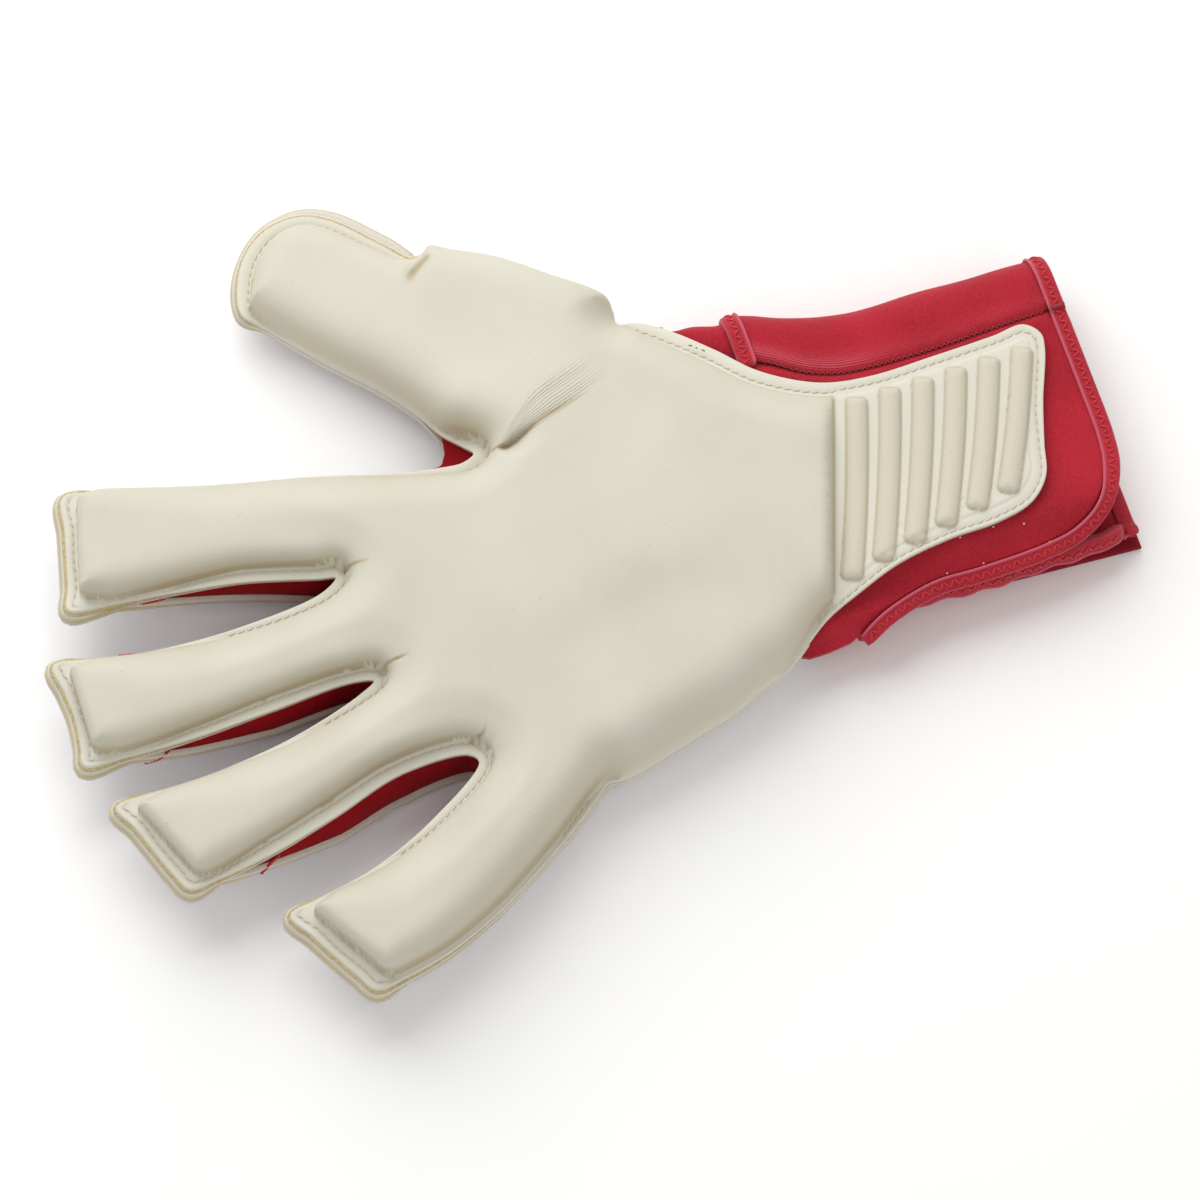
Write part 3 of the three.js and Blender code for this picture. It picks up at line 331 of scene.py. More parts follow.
def blendSpots(spots, points, reach=13.0):
    spots = np.array(spots)
    square = ((points[:, None, :] - spots[None, :, :2]) ** 2).sum(axis=2)
    weight = np.exp(-square / (2 * reach * reach)) + 1e-12
    return weight @ spots[:, 2] / weight.sum(axis=1)


crown = pv["palmCrown"]
padSpots = [handPoint(x, y) + (share * crown,) for x, y, share in [
    (0.05, 0.2, 1), (0.3, 0.4, 0.98), (0.02, 0.5, 0.96), (-0.24, 0.48, 0.95), (-0.46, 0.32, 0.9),
    (-0.35, 0.1, 0.92), (-0.3, -0.15, 0.9), (0.1, -0.15, 1), (0.4, 0.05, 1), (0.45, -0.2, 0.88),
    (0.1, -0.36, 0.88), (0.04, -0.6, 0.82), (0.03, -0.95, 0.82)]]
thumbSpots = [thumbPoint(a, b) + (share * crown,) for a, b, share in [
    (-0.1, 0.1, 0.93), (0.25, 0, 0.8), (0.6, 0, 0.7), (0.9, 0, 0.7)]]
fingerSpots = [fingerPoint(f, t, 0) + (share * crown,) for f in fingerShapes for t, share in [
    (0.05, 0.93), (0.45, 0.88), (0.75, 0.89), (1, 0.93)]]
topSpots = padSpots + thumbSpots + fingerSpots
backSpots = [(x, y, -3) for x, y, _ in padSpots]
backSpots += [(x, y, -2 if i < 2 else 2) for i, (x, y, _) in enumerate(thumbSpots)]
backSpots += [fingerPoint(f, t, 0) + (h,) for f in fingerShapes for t, h in [
    (0, -2), (0.35, 0.5), (0.7, 0.6 * pv["tipLift"]), (1, pv["tipLift"])]]


def smooth(t):
    t = np.clip(t, 0, 1)
    return t * t * (3 - 2 * t)


def quarterRound(t):
    return np.sqrt(1 - (1 - np.clip(t, 0, 1)) ** 2)


def risen(run, shoulder, roll, soft=0.0, tight=0.0):
    # steep from the edge, then a long round that is level in a finger's middle
    reach = 1.75 * shoulder * (1 + 0.4 * roll) * (1 - 0.7 * tight)
    steep = np.sqrt(1 - (1 - np.clip(run / reach, 0, 1)) ** 4)
    gentle = 0.1 * quarterRound(run / 0.9) + 0.9 * smooth(run / 13)
    return steep + (gentle - steep) * soft


def pathDistance(path, points):
    # distance to an open path, the share along it and the signed side
    best = np.full(len(points), 1e9)
    along = np.zeros(len(points))
    side = np.zeros(len(points))
    lengths = [math.dist(p, q) for p, q in zip(path, path[1:])]
    total, done = sum(lengths), 0.0
    for p, q, length in zip(path, path[1:], lengths):
        p, span = np.array(p), np.array(q) - np.array(p)
        share = np.clip(((points - p) @ span) / length ** 2, 0, 1)
        off = points - p - share[:, None] * span
        gap = np.linalg.norm(off, axis=1)
        closer = gap < best
        best = np.where(closer, gap, best)
        along = np.where(closer, (done + share * length) / total, along)
        side = np.where(closer, np.sign(span[0] * off[:, 1] - span[1] * off[:, 0]), side)
        done += length
    return best, along, side


# Where two digits part, the pad's foot runs on into the palm: a path, steep on its left, gentle on its right
scarps = [
    {"path": [(19.7, 72.2), (18.7, 68.9), (17.9, 65.8), (17.4, 63.9), (18.6, 61.4)],
     "steep": 3.0, "gentle": 3.0, "drop": 0.3, "in": 0.35, "out": 0.55},
    {"path": [(-10.4, 70.8), (-10.7, 66.9), (-10.9, 63.1), (-10.8, 61.1), (-9.6, 59.2)],
     "steep": 3.0, "gentle": 3.0, "drop": 0.3, "in": 0.35, "out": 0.55},
    {"path": [(-36.3, 54.2), (-36.5, 51.2), (-36.4, 49.0), (-34.0, 46.6)],
     "steep": 3.0, "gentle": 3.0, "drop": 0.3, "in": 0.35, "out": 0.55},
    {"path": [(40.0, 24.6), (37.8, 22.8), (37.0, 19.5), (37.6, 16.6), (39.4, 8.3)], "steep": 4.0, "gentle": 6.0,
     "drop": 0.35, "in": 0.2, "out": 0.7},
]
# Folds at the thumb: path, depth and half width
creases = [
    {"path": [(36.3, 23.0), (37.3, 16.7), (40.1, 8.1), (42.9, -2.4), (44.4, -8.5)], "depth": 0.5, "wide": 0.7},
    {"path": [(98.4, 21.8), (96.0, 25.0), (93.4, 28.2), (89.6, 30.4)], "depth": 1.3, "wide": 1.1},
]

ribValues = {"count": 6, "spacing": 9.35, "width": 5.9, "height": 1.7, "thumbCorner": 1.4, "pinkyCorner": 1.8,
             "bow": 0.7}
padEndValues = {"y": cuffPoint(0, 0.185)[1], "slope": 0.34, "round": 3.4, "tongueStep": 0.3}


def ribFrames():
    frames = []
    thumbX, thumbY = cuffPoint(0.279, 0.337)
    pinkyX, pinkyY = cuffPoint(-0.291, 0.149)
    for i in range(ribValues["count"]):
        a = np.array((thumbX, thumbY - i * ribValues["spacing"]))
        b = np.array((pinkyX + i * ribValues["spacing"] * 0.21, pinkyY - i * ribValues["spacing"]))
        frames.append((a, b))
    return frames


def ribDepth(points):
    # how deep a point lies inside the nearest rib's rounded outline, negative outside
    best = np.full(len(points), -99.0)
    for a, b in ribFrames():
        length = float(np.linalg.norm(b - a))
        along = (b - a) / length
        across = np.array((-along[1], along[0]))
        u = (points - (a + b) / 2) @ along
        v = (points - (a + b) / 2) @ across - ribValues["bow"] * (1 - (2 * u / length) ** 2)
        corner = np.where(u > 0, ribValues["pinkyCorner"], ribValues["thumbCorner"])
        du = np.abs(u) - (length / 2 - corner)
        dv = np.abs(v) - (ribValues["width"] / 2 - corner)
        gap = np.hypot(np.maximum(du, 0), np.maximum(dv, 0)) + np.minimum(np.maximum(du, dv), 0) - corner
        best = np.maximum(best, -gap)
    return best


def padEndRun(points):
    # distance to the pad's end at the tongue, positive on the palm's side
    line = points[:, 1] - padEndValues["y"] + padEndValues["slope"] * points[:, 0]
    return line / math.hypot(1, padEndValues["slope"])


def tongueShare(points):
    return smooth(0.5 - padEndRun(points) / 0.6)


# Bundles of fine folds: start, direction, how fast it spreads, its width, reach, number and depth
wrinkleBundles = [
    {"start": (36.6, 22.6), "toward": (50.6, -9.5), "spread": 20.0, "width": 11.0, "from": 1.0, "reach": 43.0,
     "folds": 13, "depth": 1.0},
    {"start": (5.0, 64.0), "toward": (-9.0, 59.5), "spread": 1.0, "width": 7.5, "from": 0.0, "reach": 14.0,
     "folds": 6, "depth": 0.4},
]


def bundlePlace(bundle, points):
    # along the bundle, and across it as a share from -1 to 1
    start = np.array(bundle["start"])
    way = np.array(bundle["toward"]) - start
    way = way / np.linalg.norm(way)
    along = (points - start) @ way
    across = (points - start) @ np.array((-way[1], way[0]))
    half = bundle["width"] / 2 * (0.12 + 0.88 * smooth(along / bundle["spread"]))
    return along, across / half, half


def wrinkleMarks(points):
    # the folds' phase, one per fold, and how deep they are there
    phase, depth = np.zeros(len(points)), np.zeros(len(points))
    for bundle in wrinkleBundles:
        along, share, _ = bundlePlace(bundle, points)
        fan = smooth((1 - np.abs(share)) * 3)
        span = smooth((along - bundle["from"]) / 5) * smooth((bundle["reach"] - along) / 24)
        bend = (share * bundle["folds"] / 2 + 0.3 * np.sin(along * 0.21 + 1.3)
                + 0.18 * np.sin(share * 9 + along * 0.13))
        here = bundle["depth"] * fan * span * (0.7 + 0.3 * np.sin(share * 7 + along * 0.16))
        phase = np.where(np.abs(share) < 1.6, bend, phase)
        depth = np.maximum(depth, here)
    return phase, depth


def halfWidth(finger, t, side):
    shape = tipShapes[finger["name"]]
    step = np.where(side < 0, np.interp(t, sideStations, shape[0]), np.interp(t, sideStations, shape[1]))
    return pv["fingerWidth"] * throughThree(finger["widths"], np.clip(t, 0, 1.05)) / 2 + step


def padEndAlong(finger, across):
    # how far along the finger its pad reaches, on a line from one corner of the tip to the other
    _, _, (first, _, last), before = tipShapes[finger["name"]]
    share = np.clip(across / 28 + 0.5, -0.1, 1.1)
    return finger["length"] + first + (last - first) * share - before


def tipPlace(finger, points):
    # along the finger, across it, and its half width there
    angle = math.radians(finger["lean"])
    way = np.array((math.sin(angle), math.cos(angle)))
    off = points - np.array(handPoint(*finger["root"]))
    t = off @ way / finger["length"]
    across = off @ np.array((-way[1], way[0])) - finger["bow"] * finger["length"] * 4 * t * (1 - t)
    return t, across, halfWidth(finger, t, np.sign(across))


def sideWelt(finger, t, side):
    welts, rolls, _ = (thumbSides if side < 0 else pinkySides)[finger["name"]]
    return np.interp(t, sideStations, [w * (1 - r) for w, r in zip(welts, rolls)])


def squaredTips(points, run):
    # near a fingertip the pad ends in a straight line with rounded corners
    for finger in fingerShapes:
        t, across, half = tipPlace(finger, points)
        here = (t > tipValues["from"]) & (t < 1.2) & (np.abs(across) < half + 6)
        welt = np.where(across < 0, sideWelt(finger, t, -1), sideWelt(finger, t, 1))
        corner = tipValues["corner"]
        a = corner - (half - np.abs(across) - welt)
        b = corner - (padEndAlong(finger, across) - t * finger["length"])
        gap = np.hypot(np.maximum(a, 0), np.maximum(b, 0)) + np.minimum(np.maximum(a, b), 0) - corner
        share = smooth((t - tipValues["from"]) / 0.1)
        run = np.where(here, run + (-gap - run) * share, run)
    return run


def stitchInset(points, welt):
    # beside the pad's foot, or in the tongue's welt, where it lies nearer the edge on the little finger's side
    tongue = tongueShare(points)
    share = 0.53 - 0.18 * smooth((6 - points[:, 0]) / 12)
    return (welt - np.maximum(0.65, 0.3 * welt)) * (1 - tongue) + share * welt * tongue


def palmFields(points):
    near = nearEdge(palmOutline, points)
    inside, edge, roll, welt, soft, tight = (near[:, c] for c in (0, 1, 2, 5, 6, 8))
    inside = np.maximum(inside, 0)
    start = welt * (1 - roll)
    run = np.maximum(0, squaredTips(points, inside - start))
    swell = 0.25 * np.sin(points[:, 0] / 17 + 0.4) * np.sin(points[:, 1] / 21 + 1.1)
    full = blendSpots(topSpots, points) - edge + swell
    level = risen(run, 7.5, roll, soft, tight)
    # painted shade: foot is a dark line painted at the pad's foot, and tone a tan painted shade up the pad's
    # shoulder, strongest on the little finger's sides and weaker where the pad rises softly or tightly
    foot = np.exp(-((run - 0.1) / 0.45) ** 2) * (run > 0) * (1 - roll) * (1 - 0.75 * soft)
    tone = (1 - smooth(run / 5.5)) * (run > 0) * (1 - 0.85 * soft) * (1 - 0.9 * tight) * (0.72 - 0.2 * roll)
    creaseShade = np.zeros(len(points))
    for item in scarps:
        gap, along, side = pathDistance(item["path"], points)
        fade = smooth((1 - along) / item["out"]) * smooth((along + 0.001) / item["in"])
        bank = np.where(side > 0, quarterRound(gap / item["steep"]), smooth(gap / item["gentle"]))
        level = np.minimum(level, 1 - item["drop"] * fade * (1 - bank))
        # painted shade: a dark line painted along the path, and tan painted shade on its steep bank
        creaseShade = np.maximum(creaseShade, np.exp(-(gap / 0.42) ** 2) * fade)
        tone = np.maximum(tone, (1 - smooth(gap / 5)) * fade * (side > 0) * item["drop"])
    endRun, share = padEndRun(points), tongueShare(points)
    padEnd = quarterRound(endRun / padEndValues["round"])
    tongue = padEndValues["tongueStep"] * np.clip((inside - start) / 0.6, 0, 1)
    height = edge + full * level * padEnd + tongue * (1 - padEnd)
    # painted shade: a dark line painted at the foot of the pad's end
    foot = np.maximum(foot * (1 - share), 0.8 * np.exp(-(endRun / 0.55) ** 2) * smooth((inside - start) / 1.5))
    ribs = ribDepth(points)
    height += share * ribValues["height"] * (0.75 * quarterRound(ribs / 2.1) + 0.25 * smooth(ribs / 3.1))
    # painted shade: a dark line painted round each rib's foot
    foot = np.maximum(foot, 0.75 * share * np.exp(-((ribs - 0.05) / 0.32) ** 2))
    for item in creases:
        gap, along, side = pathDistance(item["path"], points)
        fade = smooth((1 - along) * 2.2) * smooth(along * 8)
        dent = np.exp(-(gap / item["wide"]) ** 2) * fade * np.clip((inside - 0.6) / 2, 0, 1)
        height -= item["depth"] * dent
        # painted shade in the fold's dent
        creaseShade = np.maximum(creaseShade, 0.8 * dent)
    phase, wrinkle = wrinkleMarks(points)
    sewn = np.exp(-((inside - stitchInset(points, start)) / 0.5) ** 2) * smooth((start - 1.1) / 0.5)
    height -= 0.16 * sewn + 0.12 * (1 - smooth(inside / 0.5)) * (1 - roll)
    # painted shade: the dark foot lines, and darker painted shade in the stitched groove
    creaseShade = np.clip(np.maximum(creaseShade, 0.8 * foot) + 0.3 * sewn, 0, 1)
    # the tan painted shade stops where the tongue begins
    tone = np.clip(tone * (1 - share), 0, 1)
    return {"height": height, "creaseShade": creaseShade, "phase": phase, "wrinkle": wrinkle, "run": run, "tone": tone,
            "rib": smooth(ribs / 0.5) * share, "share": share}


def palmUnderHeight(points):
    near = nearEdge(palmOutline, points)
    edge = near[:, 1] - pv["weltThickness"]
    run = np.maximum(0, near[:, 0] - pv["weltThickness"] - near[:, 5] * (1 - near[:, 2]))
    full = blendSpots(topSpots, points) - pv["padThickness"] - edge
    under = edge + full * risen(run, 7.5, near[:, 2]) * quarterRound(padEndRun(points) / 8)
    return np.minimum(under, palmFields(points)["height"] - pv["weltThickness"])


class PointBed:
    # keeps points that lie at least a gap from the ones before them
    def __init__(self, cell):
        self.cell = cell
        self.cells = {}
        self.points = []

    def add(self, x, y, gap):
        column, line = int(x // self.cell), int(y // self.cell)
        reach = max(1, math.ceil(gap / self.cell))
        for i in range(column - reach, column + reach + 1):
            for j in range(line - reach, line + reach + 1):
                for px, py in self.cells.get((i, j), ()):
                    if (px - x) ** 2 + (py - y) ** 2 < gap * gap:
                        return
        self.cells.setdefault((column, line), []).append((x, y))
        self.points.append((x, y))


def fillPoints(outline, normals, depths, spacing, extra=()):
    # rings at their depths, then wanted points, then a staggered grid in the middle
    bed = PointBed(1.0)
    for x, y in outline[:, :2]:
        bed.add(x, y, 0.05)
    edgeCount = len(bed.points)
    for depth in depths:
        inset = depth(outline) if callable(depth) else np.full(len(outline), depth)
        ring = outline[:, :2] - normals * inset[:, None]
        inside = nearEdge(outline, ring)[:, 0]
        for (x, y), reached, wanted in zip(ring, inside, inset):
            if reached > wanted * 0.93 - 0.02 and wanted > 0.15:
                bed.add(x, y, 0.13)
    for points, gap, least in extra:
        points = np.asarray(points)
        inside = nearEdge(outline, points)[:, 0]
        for (x, y), reached in zip(points, inside):
            if reached > least:
                bed.add(x, y, gap)
    low, high = outline[:, :2].min(axis=0), outline[:, :2].max(axis=0)
    grid = []
    for line in range(int((high[1] - low[1]) / (spacing * 0.866)) + 1):
        y = low[1] + line * spacing * 0.866
        for column in range(int((high[0] - low[0]) / spacing) + 1):
            grid.append((low[0] + (column + 0.5 * (line % 2)) * spacing, y))
    inside = nearEdge(outline, grid)[:, 0]
    for (x, y), reached in zip(grid, inside):
        if reached > 1.0:
            bed.add(x, y, spacing * 0.62)
    return np.array(bed.points), edgeCount


def fillSheet(outline, normals, depths, spacing, extra=()):
    # Blender's own triangulator fills the outline, and follows its edge exactly
    points, edgeCount = fillPoints(outline, normals, depths, spacing, extra)
    places = [Vector(p) for p in points]
    edges = [(i, (i + 1) % edgeCount) for i in range(edgeCount)]
    made = geometry.delaunay_2d_cdt(places, edges, [list(range(edgeCount))], 1, 1e-7)
    return np.array([tuple(v) for v in made[0]]), [tuple(f) for f in made[2]], edgeCount


def newPiece(name, bm):
    mesh = bpy.data.meshes.new(name)
    bm.to_mesh(mesh)
    bm.free()
    piece = bpy.data.objects.new(name, mesh)
    scene.collection.objects.link(piece)
    for polygon in mesh.polygons:
        polygon.use_smooth = True
    return piece


def layerValues(bm, names):
    return {name: bm.verts.layers.float.new(name) for name in names}


def sheetPiece(name, upper, lower, rim, attributes):
    # upper and lower are (points, faces, heights, values), and share their outline's first points
    bm = bmesh.new()
    layers = layerValues(bm, attributes)
    loops = []
    for side, (points, faces, heights, values, edgeCount) in enumerate((upper, lower)):
        verts = [bm.verts.new(inRow(x, y, z)) for (x, y), z in zip(points, heights)]
        for key in attributes:
            column = values.get(key)
            if column is not None:
                for vert, value in zip(verts, column):
                    vert[layers[key]] = float(value)
        for face in faces:
            ordered = [verts[i] for i in face]
            bm.faces.new(ordered if side == 0 else ordered[::-1])
        loops.append(verts[:edgeCount])
    # the cut edge: rows of the rim from the upper loop down to the lower one
    rows = [loops[0]]
    for offsets in rim:
        row = []
        for (x, y, z), layer in offsets:
            vert = bm.verts.new(inRow(x, y, z))
            if "layer" in layers:
                vert[layers["layer"]] = layer
            row.append(vert)
        rows.append(row)
    rows.append(loops[1])
    for above, below in zip(rows, rows[1:]):
        count = len(above)
        for i in range(count):
            j = (i + 1) % count
            bm.faces.new((above[i], below[i], below[j], above[j]))
    bm.normal_update()
    return newPiece(name, bm)


def rimRows(outline, normals, thickness, profile):
    # profile: outward step, the same on a stepped edge, share of the thickness, layer value
    rows = []
    stepped = outline.shape[1] > 8
    for out, stepOut, share, layer in profile:
        row = []
        for vertex, normal in zip(outline, normals):
            step = vertex[8] if stepped else 0
            reach = out + (stepOut - out) * step
            z = vertex[2] - thickness * share
            row.append(((vertex[0] + normal[0] * reach, vertex[1] + normal[1] * reach, z),
                        layer * (1 - vertex[3])))
        rows.append(row)
    return rows


def linear(colour):
    # an sRGB hex value as linear red, green, blue and alpha
    channels = [int(colour[i:i + 2], 16) / 255 for i in (1, 3, 5)]
    return tuple(c / 12.92 if c <= 0.04045 else ((c + 0.055) / 1.055) ** 2.4 for c in channels) + (1.0,)


def addNode(tree, kind, output, inputs=None, **settings):
    # an input is a number, an sRGB hex colour or another node's output
    node = tree.nodes.new("ShaderNode" + kind)
    for key, value in settings.items():
        setattr(node, key, value)
    for key, value in (inputs or {}).items():
        if isinstance(value, bpy.types.NodeSocket):
            tree.links.new(value, node.inputs[key])
        else:
            node.inputs[key].default_value = linear(value) if isinstance(value, str) else value
    return node.outputs[output] if output else node


def newMaterial(name):
    material = bpy.data.materials.new(name)
    material.use_nodes = True
    material.node_tree.nodes.clear()
    return material, material.node_tree


def layColours(tree, colour, layers):
    # each layer is how much of it shows, and its colour
    for factor, above in layers:
        colour = addNode(tree, "Mix", "Result", {"Factor": factor, "A": colour, "B": above}, data_type="RGBA")
    return colour


def spread(tree, table):
    # for each name: a value, the stretch of it that is taken, and what its end becomes
    return {key: addNode(tree, "MapRange", "Result",
                         {"Value": value, "From Min": low, "From Max": high, "To Max": top})
            for key, (value, low, high, top) in table.items()}


def marksAndNoises(tree, coords, marks, noises):
    # the mesh's own marks by name, and noises by name from their size in millimetres and their detail
    read = {mark: addNode(tree, "Attribute", "Fac", attribute_name=mark) for mark in marks}
    for key, (size, detail) in noises.items():
        read[key] = addNode(tree, "TexNoise", "Fac",
                            {"Vector": coords, "Scale": 1 / (size * metre), "Detail": detail})
    return read


def phaseRidge(tree, phase):
    # from 0 to 1 and back between one whole number of the phase and the next
    turn = addNode(tree, "Math", "Value", {0: phase, 1: math.pi}, operation="MULTIPLY")
    wave = addNode(tree, "Math", "Value", {0: turn}, operation="SINE")
    return addNode(tree, "Math", "Value", {0: wave}, operation="ABSOLUTE")


def finishMaterial(material, tree, inputs):
    shader = addNode(tree, "BsdfPrincipled", "BSDF", inputs)
    addNode(tree, "OutputMaterial", None, {"Surface": shader})
    return material


# of these colours, the tone and crease tans are painted shade: tan on the pads' shoulders, darker tan in their
# feet, creases, folds and stitched grooves
latexValues = {
    "cream": "#D2CFC0", "warm": "#CDC8B6", "weltCream": "#DAD7C9", "ribCream": "#CEC8B5",
    "paintedShadeTan": "#C0B292", "creaseShadeTan": "#A08C5E", "foamTan": "#CDBF97", "foamDark": "#B3A274",
    "backingWhite": "#E2DDD6", "speck": "#9A8F70",
    "mottleMm": 30.0, "scatterMm": 6.2, "waveMm": 3.2, "foamMm": 0.7, "poreMm": 0.45, "speckMm": 2.6,
    "shader": {"Roughness": 0.6, "IOR": 1.52, "Specular IOR Level": 0.28, "Sheen Weight": 0.05},
}


def mouldedLatex():
    # natural latex foam with its moulded skin: matte and cream, with tan painted shade on the pads' shoulders
    # and darker painted shade in their feet, creases, folds and stitched grooves
    material, tree = newMaterial("moulded_latex")
    lv = latexValues
    coords = addNode(tree, "TexCoord", "Object")
    read = marksAndNoises(tree, coords, ("layer", "pad", "rib", "tone", "creaseShade", "phase", "wrinkle"), {
        "mottle": (lv["mottleMm"], 3.0), "scatter": (lv["scatterMm"], 0.0), "wave": (lv["waveMm"], 2.0),
        "foam": (lv["foamMm"], 2.0), "pores": (lv["poreMm"], 2.0)})
    specks = addNode(tree, "TexVoronoi", "Distance", {"Scale": 1 / (lv["speckMm"] * metre), "Vector": coords},
                     feature="F1")
    at = spread(tree, {
        "mottle": (read["mottle"], 0.4, 0.75, 1.0), "tone": (read["tone"], 0, 1, 0.55),
        "creaseShade": (read["creaseShade"], 0, 1, 0.85), "ridge": (phaseRidge(tree, read["phase"]), 0.75, 0.0, 1.0),
        "speck": (specks, 0.09, 0.05, 1.0), "sparse": (read["scatter"], 0.6, 0.64, 0.5),
        "foam": (read["foam"], 0.35, 0.65, 1.0), "cut": (read["layer"], 0.35, 0.6, 1.0),
        "backing": (read["layer"], 1.35, 1.6, 1.0)})
    # painted shade: the folds darken the skin with the crease tan
    folds = addNode(tree, "Math", "Value", {0: at["ridge"], 1: read["wrinkle"]}, operation="MULTIPLY")
    speck = addNode(tree, "Math", "Value", {0: at["speck"], 1: at["sparse"]}, operation="MULTIPLY")
    foldShade = spread(tree, {"fold": (folds, 0, 1, 0.4)})["fold"]
    skin = layColours(tree, lv["cream"], [(at["mottle"], lv["warm"])])
    # the cut edge shows ragged tan foam, then the white backing cloth
    foam = layColours(tree, lv["foamTan"], [(at["foam"], lv["foamDark"])])
    # painted shade: the tone and crease marks lay tan shade over the skin
    colour = layColours(tree, lv["weltCream"], [
        (read["pad"], skin), (read["rib"], lv["ribCream"]), (at["tone"], lv["paintedShadeTan"]),
        (at["creaseShade"], lv["creaseShadeTan"]), (foldShade, lv["creaseShadeTan"]), (speck, lv["speck"]),
        (at["cut"], foam), (at["backing"], lv["backingWhite"])])
    normal = addNode(tree, "Bump", "Normal", {"Strength": 0.55, "Distance": 0.0006, "Height": folds},
                     invert=True)
    for height, strength, depth in ((read["pores"], 0.14, 0.0002), (read["wave"], 0.1, 0.0006)):
        normal = addNode(tree, "Bump", "Normal",
                         {"Strength": strength, "Distance": depth, "Height": height, "Normal": normal})
    return finishMaterial(material, tree, {**lv["shader"], "Base Color": colour, "Normal": normal})


knitValues = {"courseMm": 0.7, "streakMm": 0.42, "turn": 72.0, "pillMm": 0.34, "fadeMm": 16.0}


def knitCloth(name, colours, contrast, bumpDepth, sheen, marks):
    # polyester knit bonded to foam: fine slanted rows of loops, matte, paler where its fibres stand up
    material, tree = newMaterial(name)
    kv = knitValues
    light, dark, highlight = colours
    coords = addNode(tree, "TexCoord", "Object")
    turned = addNode(tree, "Mapping", "Vector",
                     {"Rotation": (0, 0, math.radians(kv["turn"])), "Vector": coords})
    courses = addNode(tree, "TexWave", "Fac",
                      {"Scale": 0.314 / (kv["courseMm"] * metre), "Distortion": 1.6, "Detail": 2.0,
                       "Detail Scale": 3.0, "Vector": turned}, wave_type="BANDS", bands_direction="X")
    drawn = addNode(tree, "Mapping", "Vector", {"Scale": (1.0, 0.35, 1.0), "Vector": turned})
    streaks = marksAndNoises(tree, drawn, (), {"streaks": (kv["streakMm"], 3.0)})["streaks"]
    read = marksAndNoises(tree, coords, marks, {"fade": (kv["fadeMm"], 4.0), "pills": (kv["pillMm"], 1.0)})
    at = spread(tree, {
        "courses": (courses, -1.2, 1.0, 1.0), "fade": (read["fade"], 0.3, 0.7, 1.0),
        "pills": (read["pills"], 0.62, 0.75, contrast)})
    weave = addNode(tree, "Math", "Value", {0: at["courses"], 1: streaks}, operation="MULTIPLY")
    loops = spread(tree, {"loops": (weave, 0.25, 0.6, contrast)})["loops"]
    if "stretch" in marks:
        phase = marksAndNoises(tree, coords, ("phase",), {})["phase"]
        ridge = spread(tree, {"ridge": (phaseRidge(tree, phase), 0.55, 1.0, 1.0)})["ridge"]
        read["stretch"] = addNode(tree, "Math", "Value", {0: read["stretch"], 1: ridge}, operation="MULTIPLY")
    colour = layColours(tree, dark, [(at["fade"], light), (loops, highlight), (at["pills"], highlight)]
                        + [(read[mark], shade) for mark, shade in marks.items()])
    normal = addNode(tree, "Bump", "Normal", {"Strength": 0.5, "Distance": bumpDepth, "Height": weave})
    return finishMaterial(material, tree, {
        "Base Color": colour, "Normal": normal, "Roughness": 0.85, "IOR": 1.5, "Specular IOR Level": 0.15,
        "Sheen Weight": sheen, "Sheen Roughness": 0.5})


backClothValues = {
    "lining": "#DAD4CB", "foam": "#CBBD95", "cloth": "#D8D3D6", "fleck": "#B9A9B8", "meshMm": 1.1, "napMm": 0.8,
    "shader": {"Roughness": 0.85, "Specular IOR Level": 0.2, "Sheen Weight": 0.15},
}


def laminatedBack():
    # the back of the hand: open mesh on tan foam, with a pale brushed lining
    material, tree = newMaterial("laminated_back_cloth")
    bv = backClothValues
    coords = addNode(tree, "TexCoord", "Object")
    read = marksAndNoises(tree, coords, ("layer",), {"nap": (bv["napMm"], 3.0)})
    cells = addNode(tree, "TexVoronoi", "Distance",
                    {"Scale": 1 / (bv["meshMm"] * metre), "Randomness": 0.35, "Vector": coords}, feature="F1")
    at = spread(tree, {
        "holes": (cells, 0.3, 0.6, 0.35), "nap": (read["nap"], 0.4, 0.8, 0.4),
        "foam": (read["layer"], 0.35, 0.6, 1.0), "cloth": (read["layer"], 1.35, 1.6, 1.0)})
    cloth = layColours(tree, bv["cloth"], [(at["holes"], bv["fleck"])])
    colour = layColours(tree, bv["lining"],
                        [(at["nap"], bv["foam"]), (at["foam"], bv["foam"]), (at["cloth"], cloth)])
    normal = addNode(tree, "Bump", "Normal", {"Strength": 0.5, "Distance": 0.0002, "Height": cells})
    return finishMaterial(material, tree, {**bv["shader"], "Base Color": colour, "Normal": normal})


threadValues = {"strandMm": 0.4, "shader": {"Roughness": 0.6, "Sheen Weight": 0.2}}


def threadMaterial(name, colour, shade):
    # spun polyester sewing thread: fine twisted strands, slightly glossy
    material, tree = newMaterial(name)
    coords = addNode(tree, "TexCoord", "Object")
    read = marksAndNoises(tree, coords, (), {"strands": (threadValues["strandMm"], 2.0)})
    tone = layColours(tree, shade, [(read["strands"], colour)])
    return finishMaterial(material, tree, {**threadValues["shader"], "Base Color": tone})


latex = mouldedLatex()
backCloth = laminatedBack()
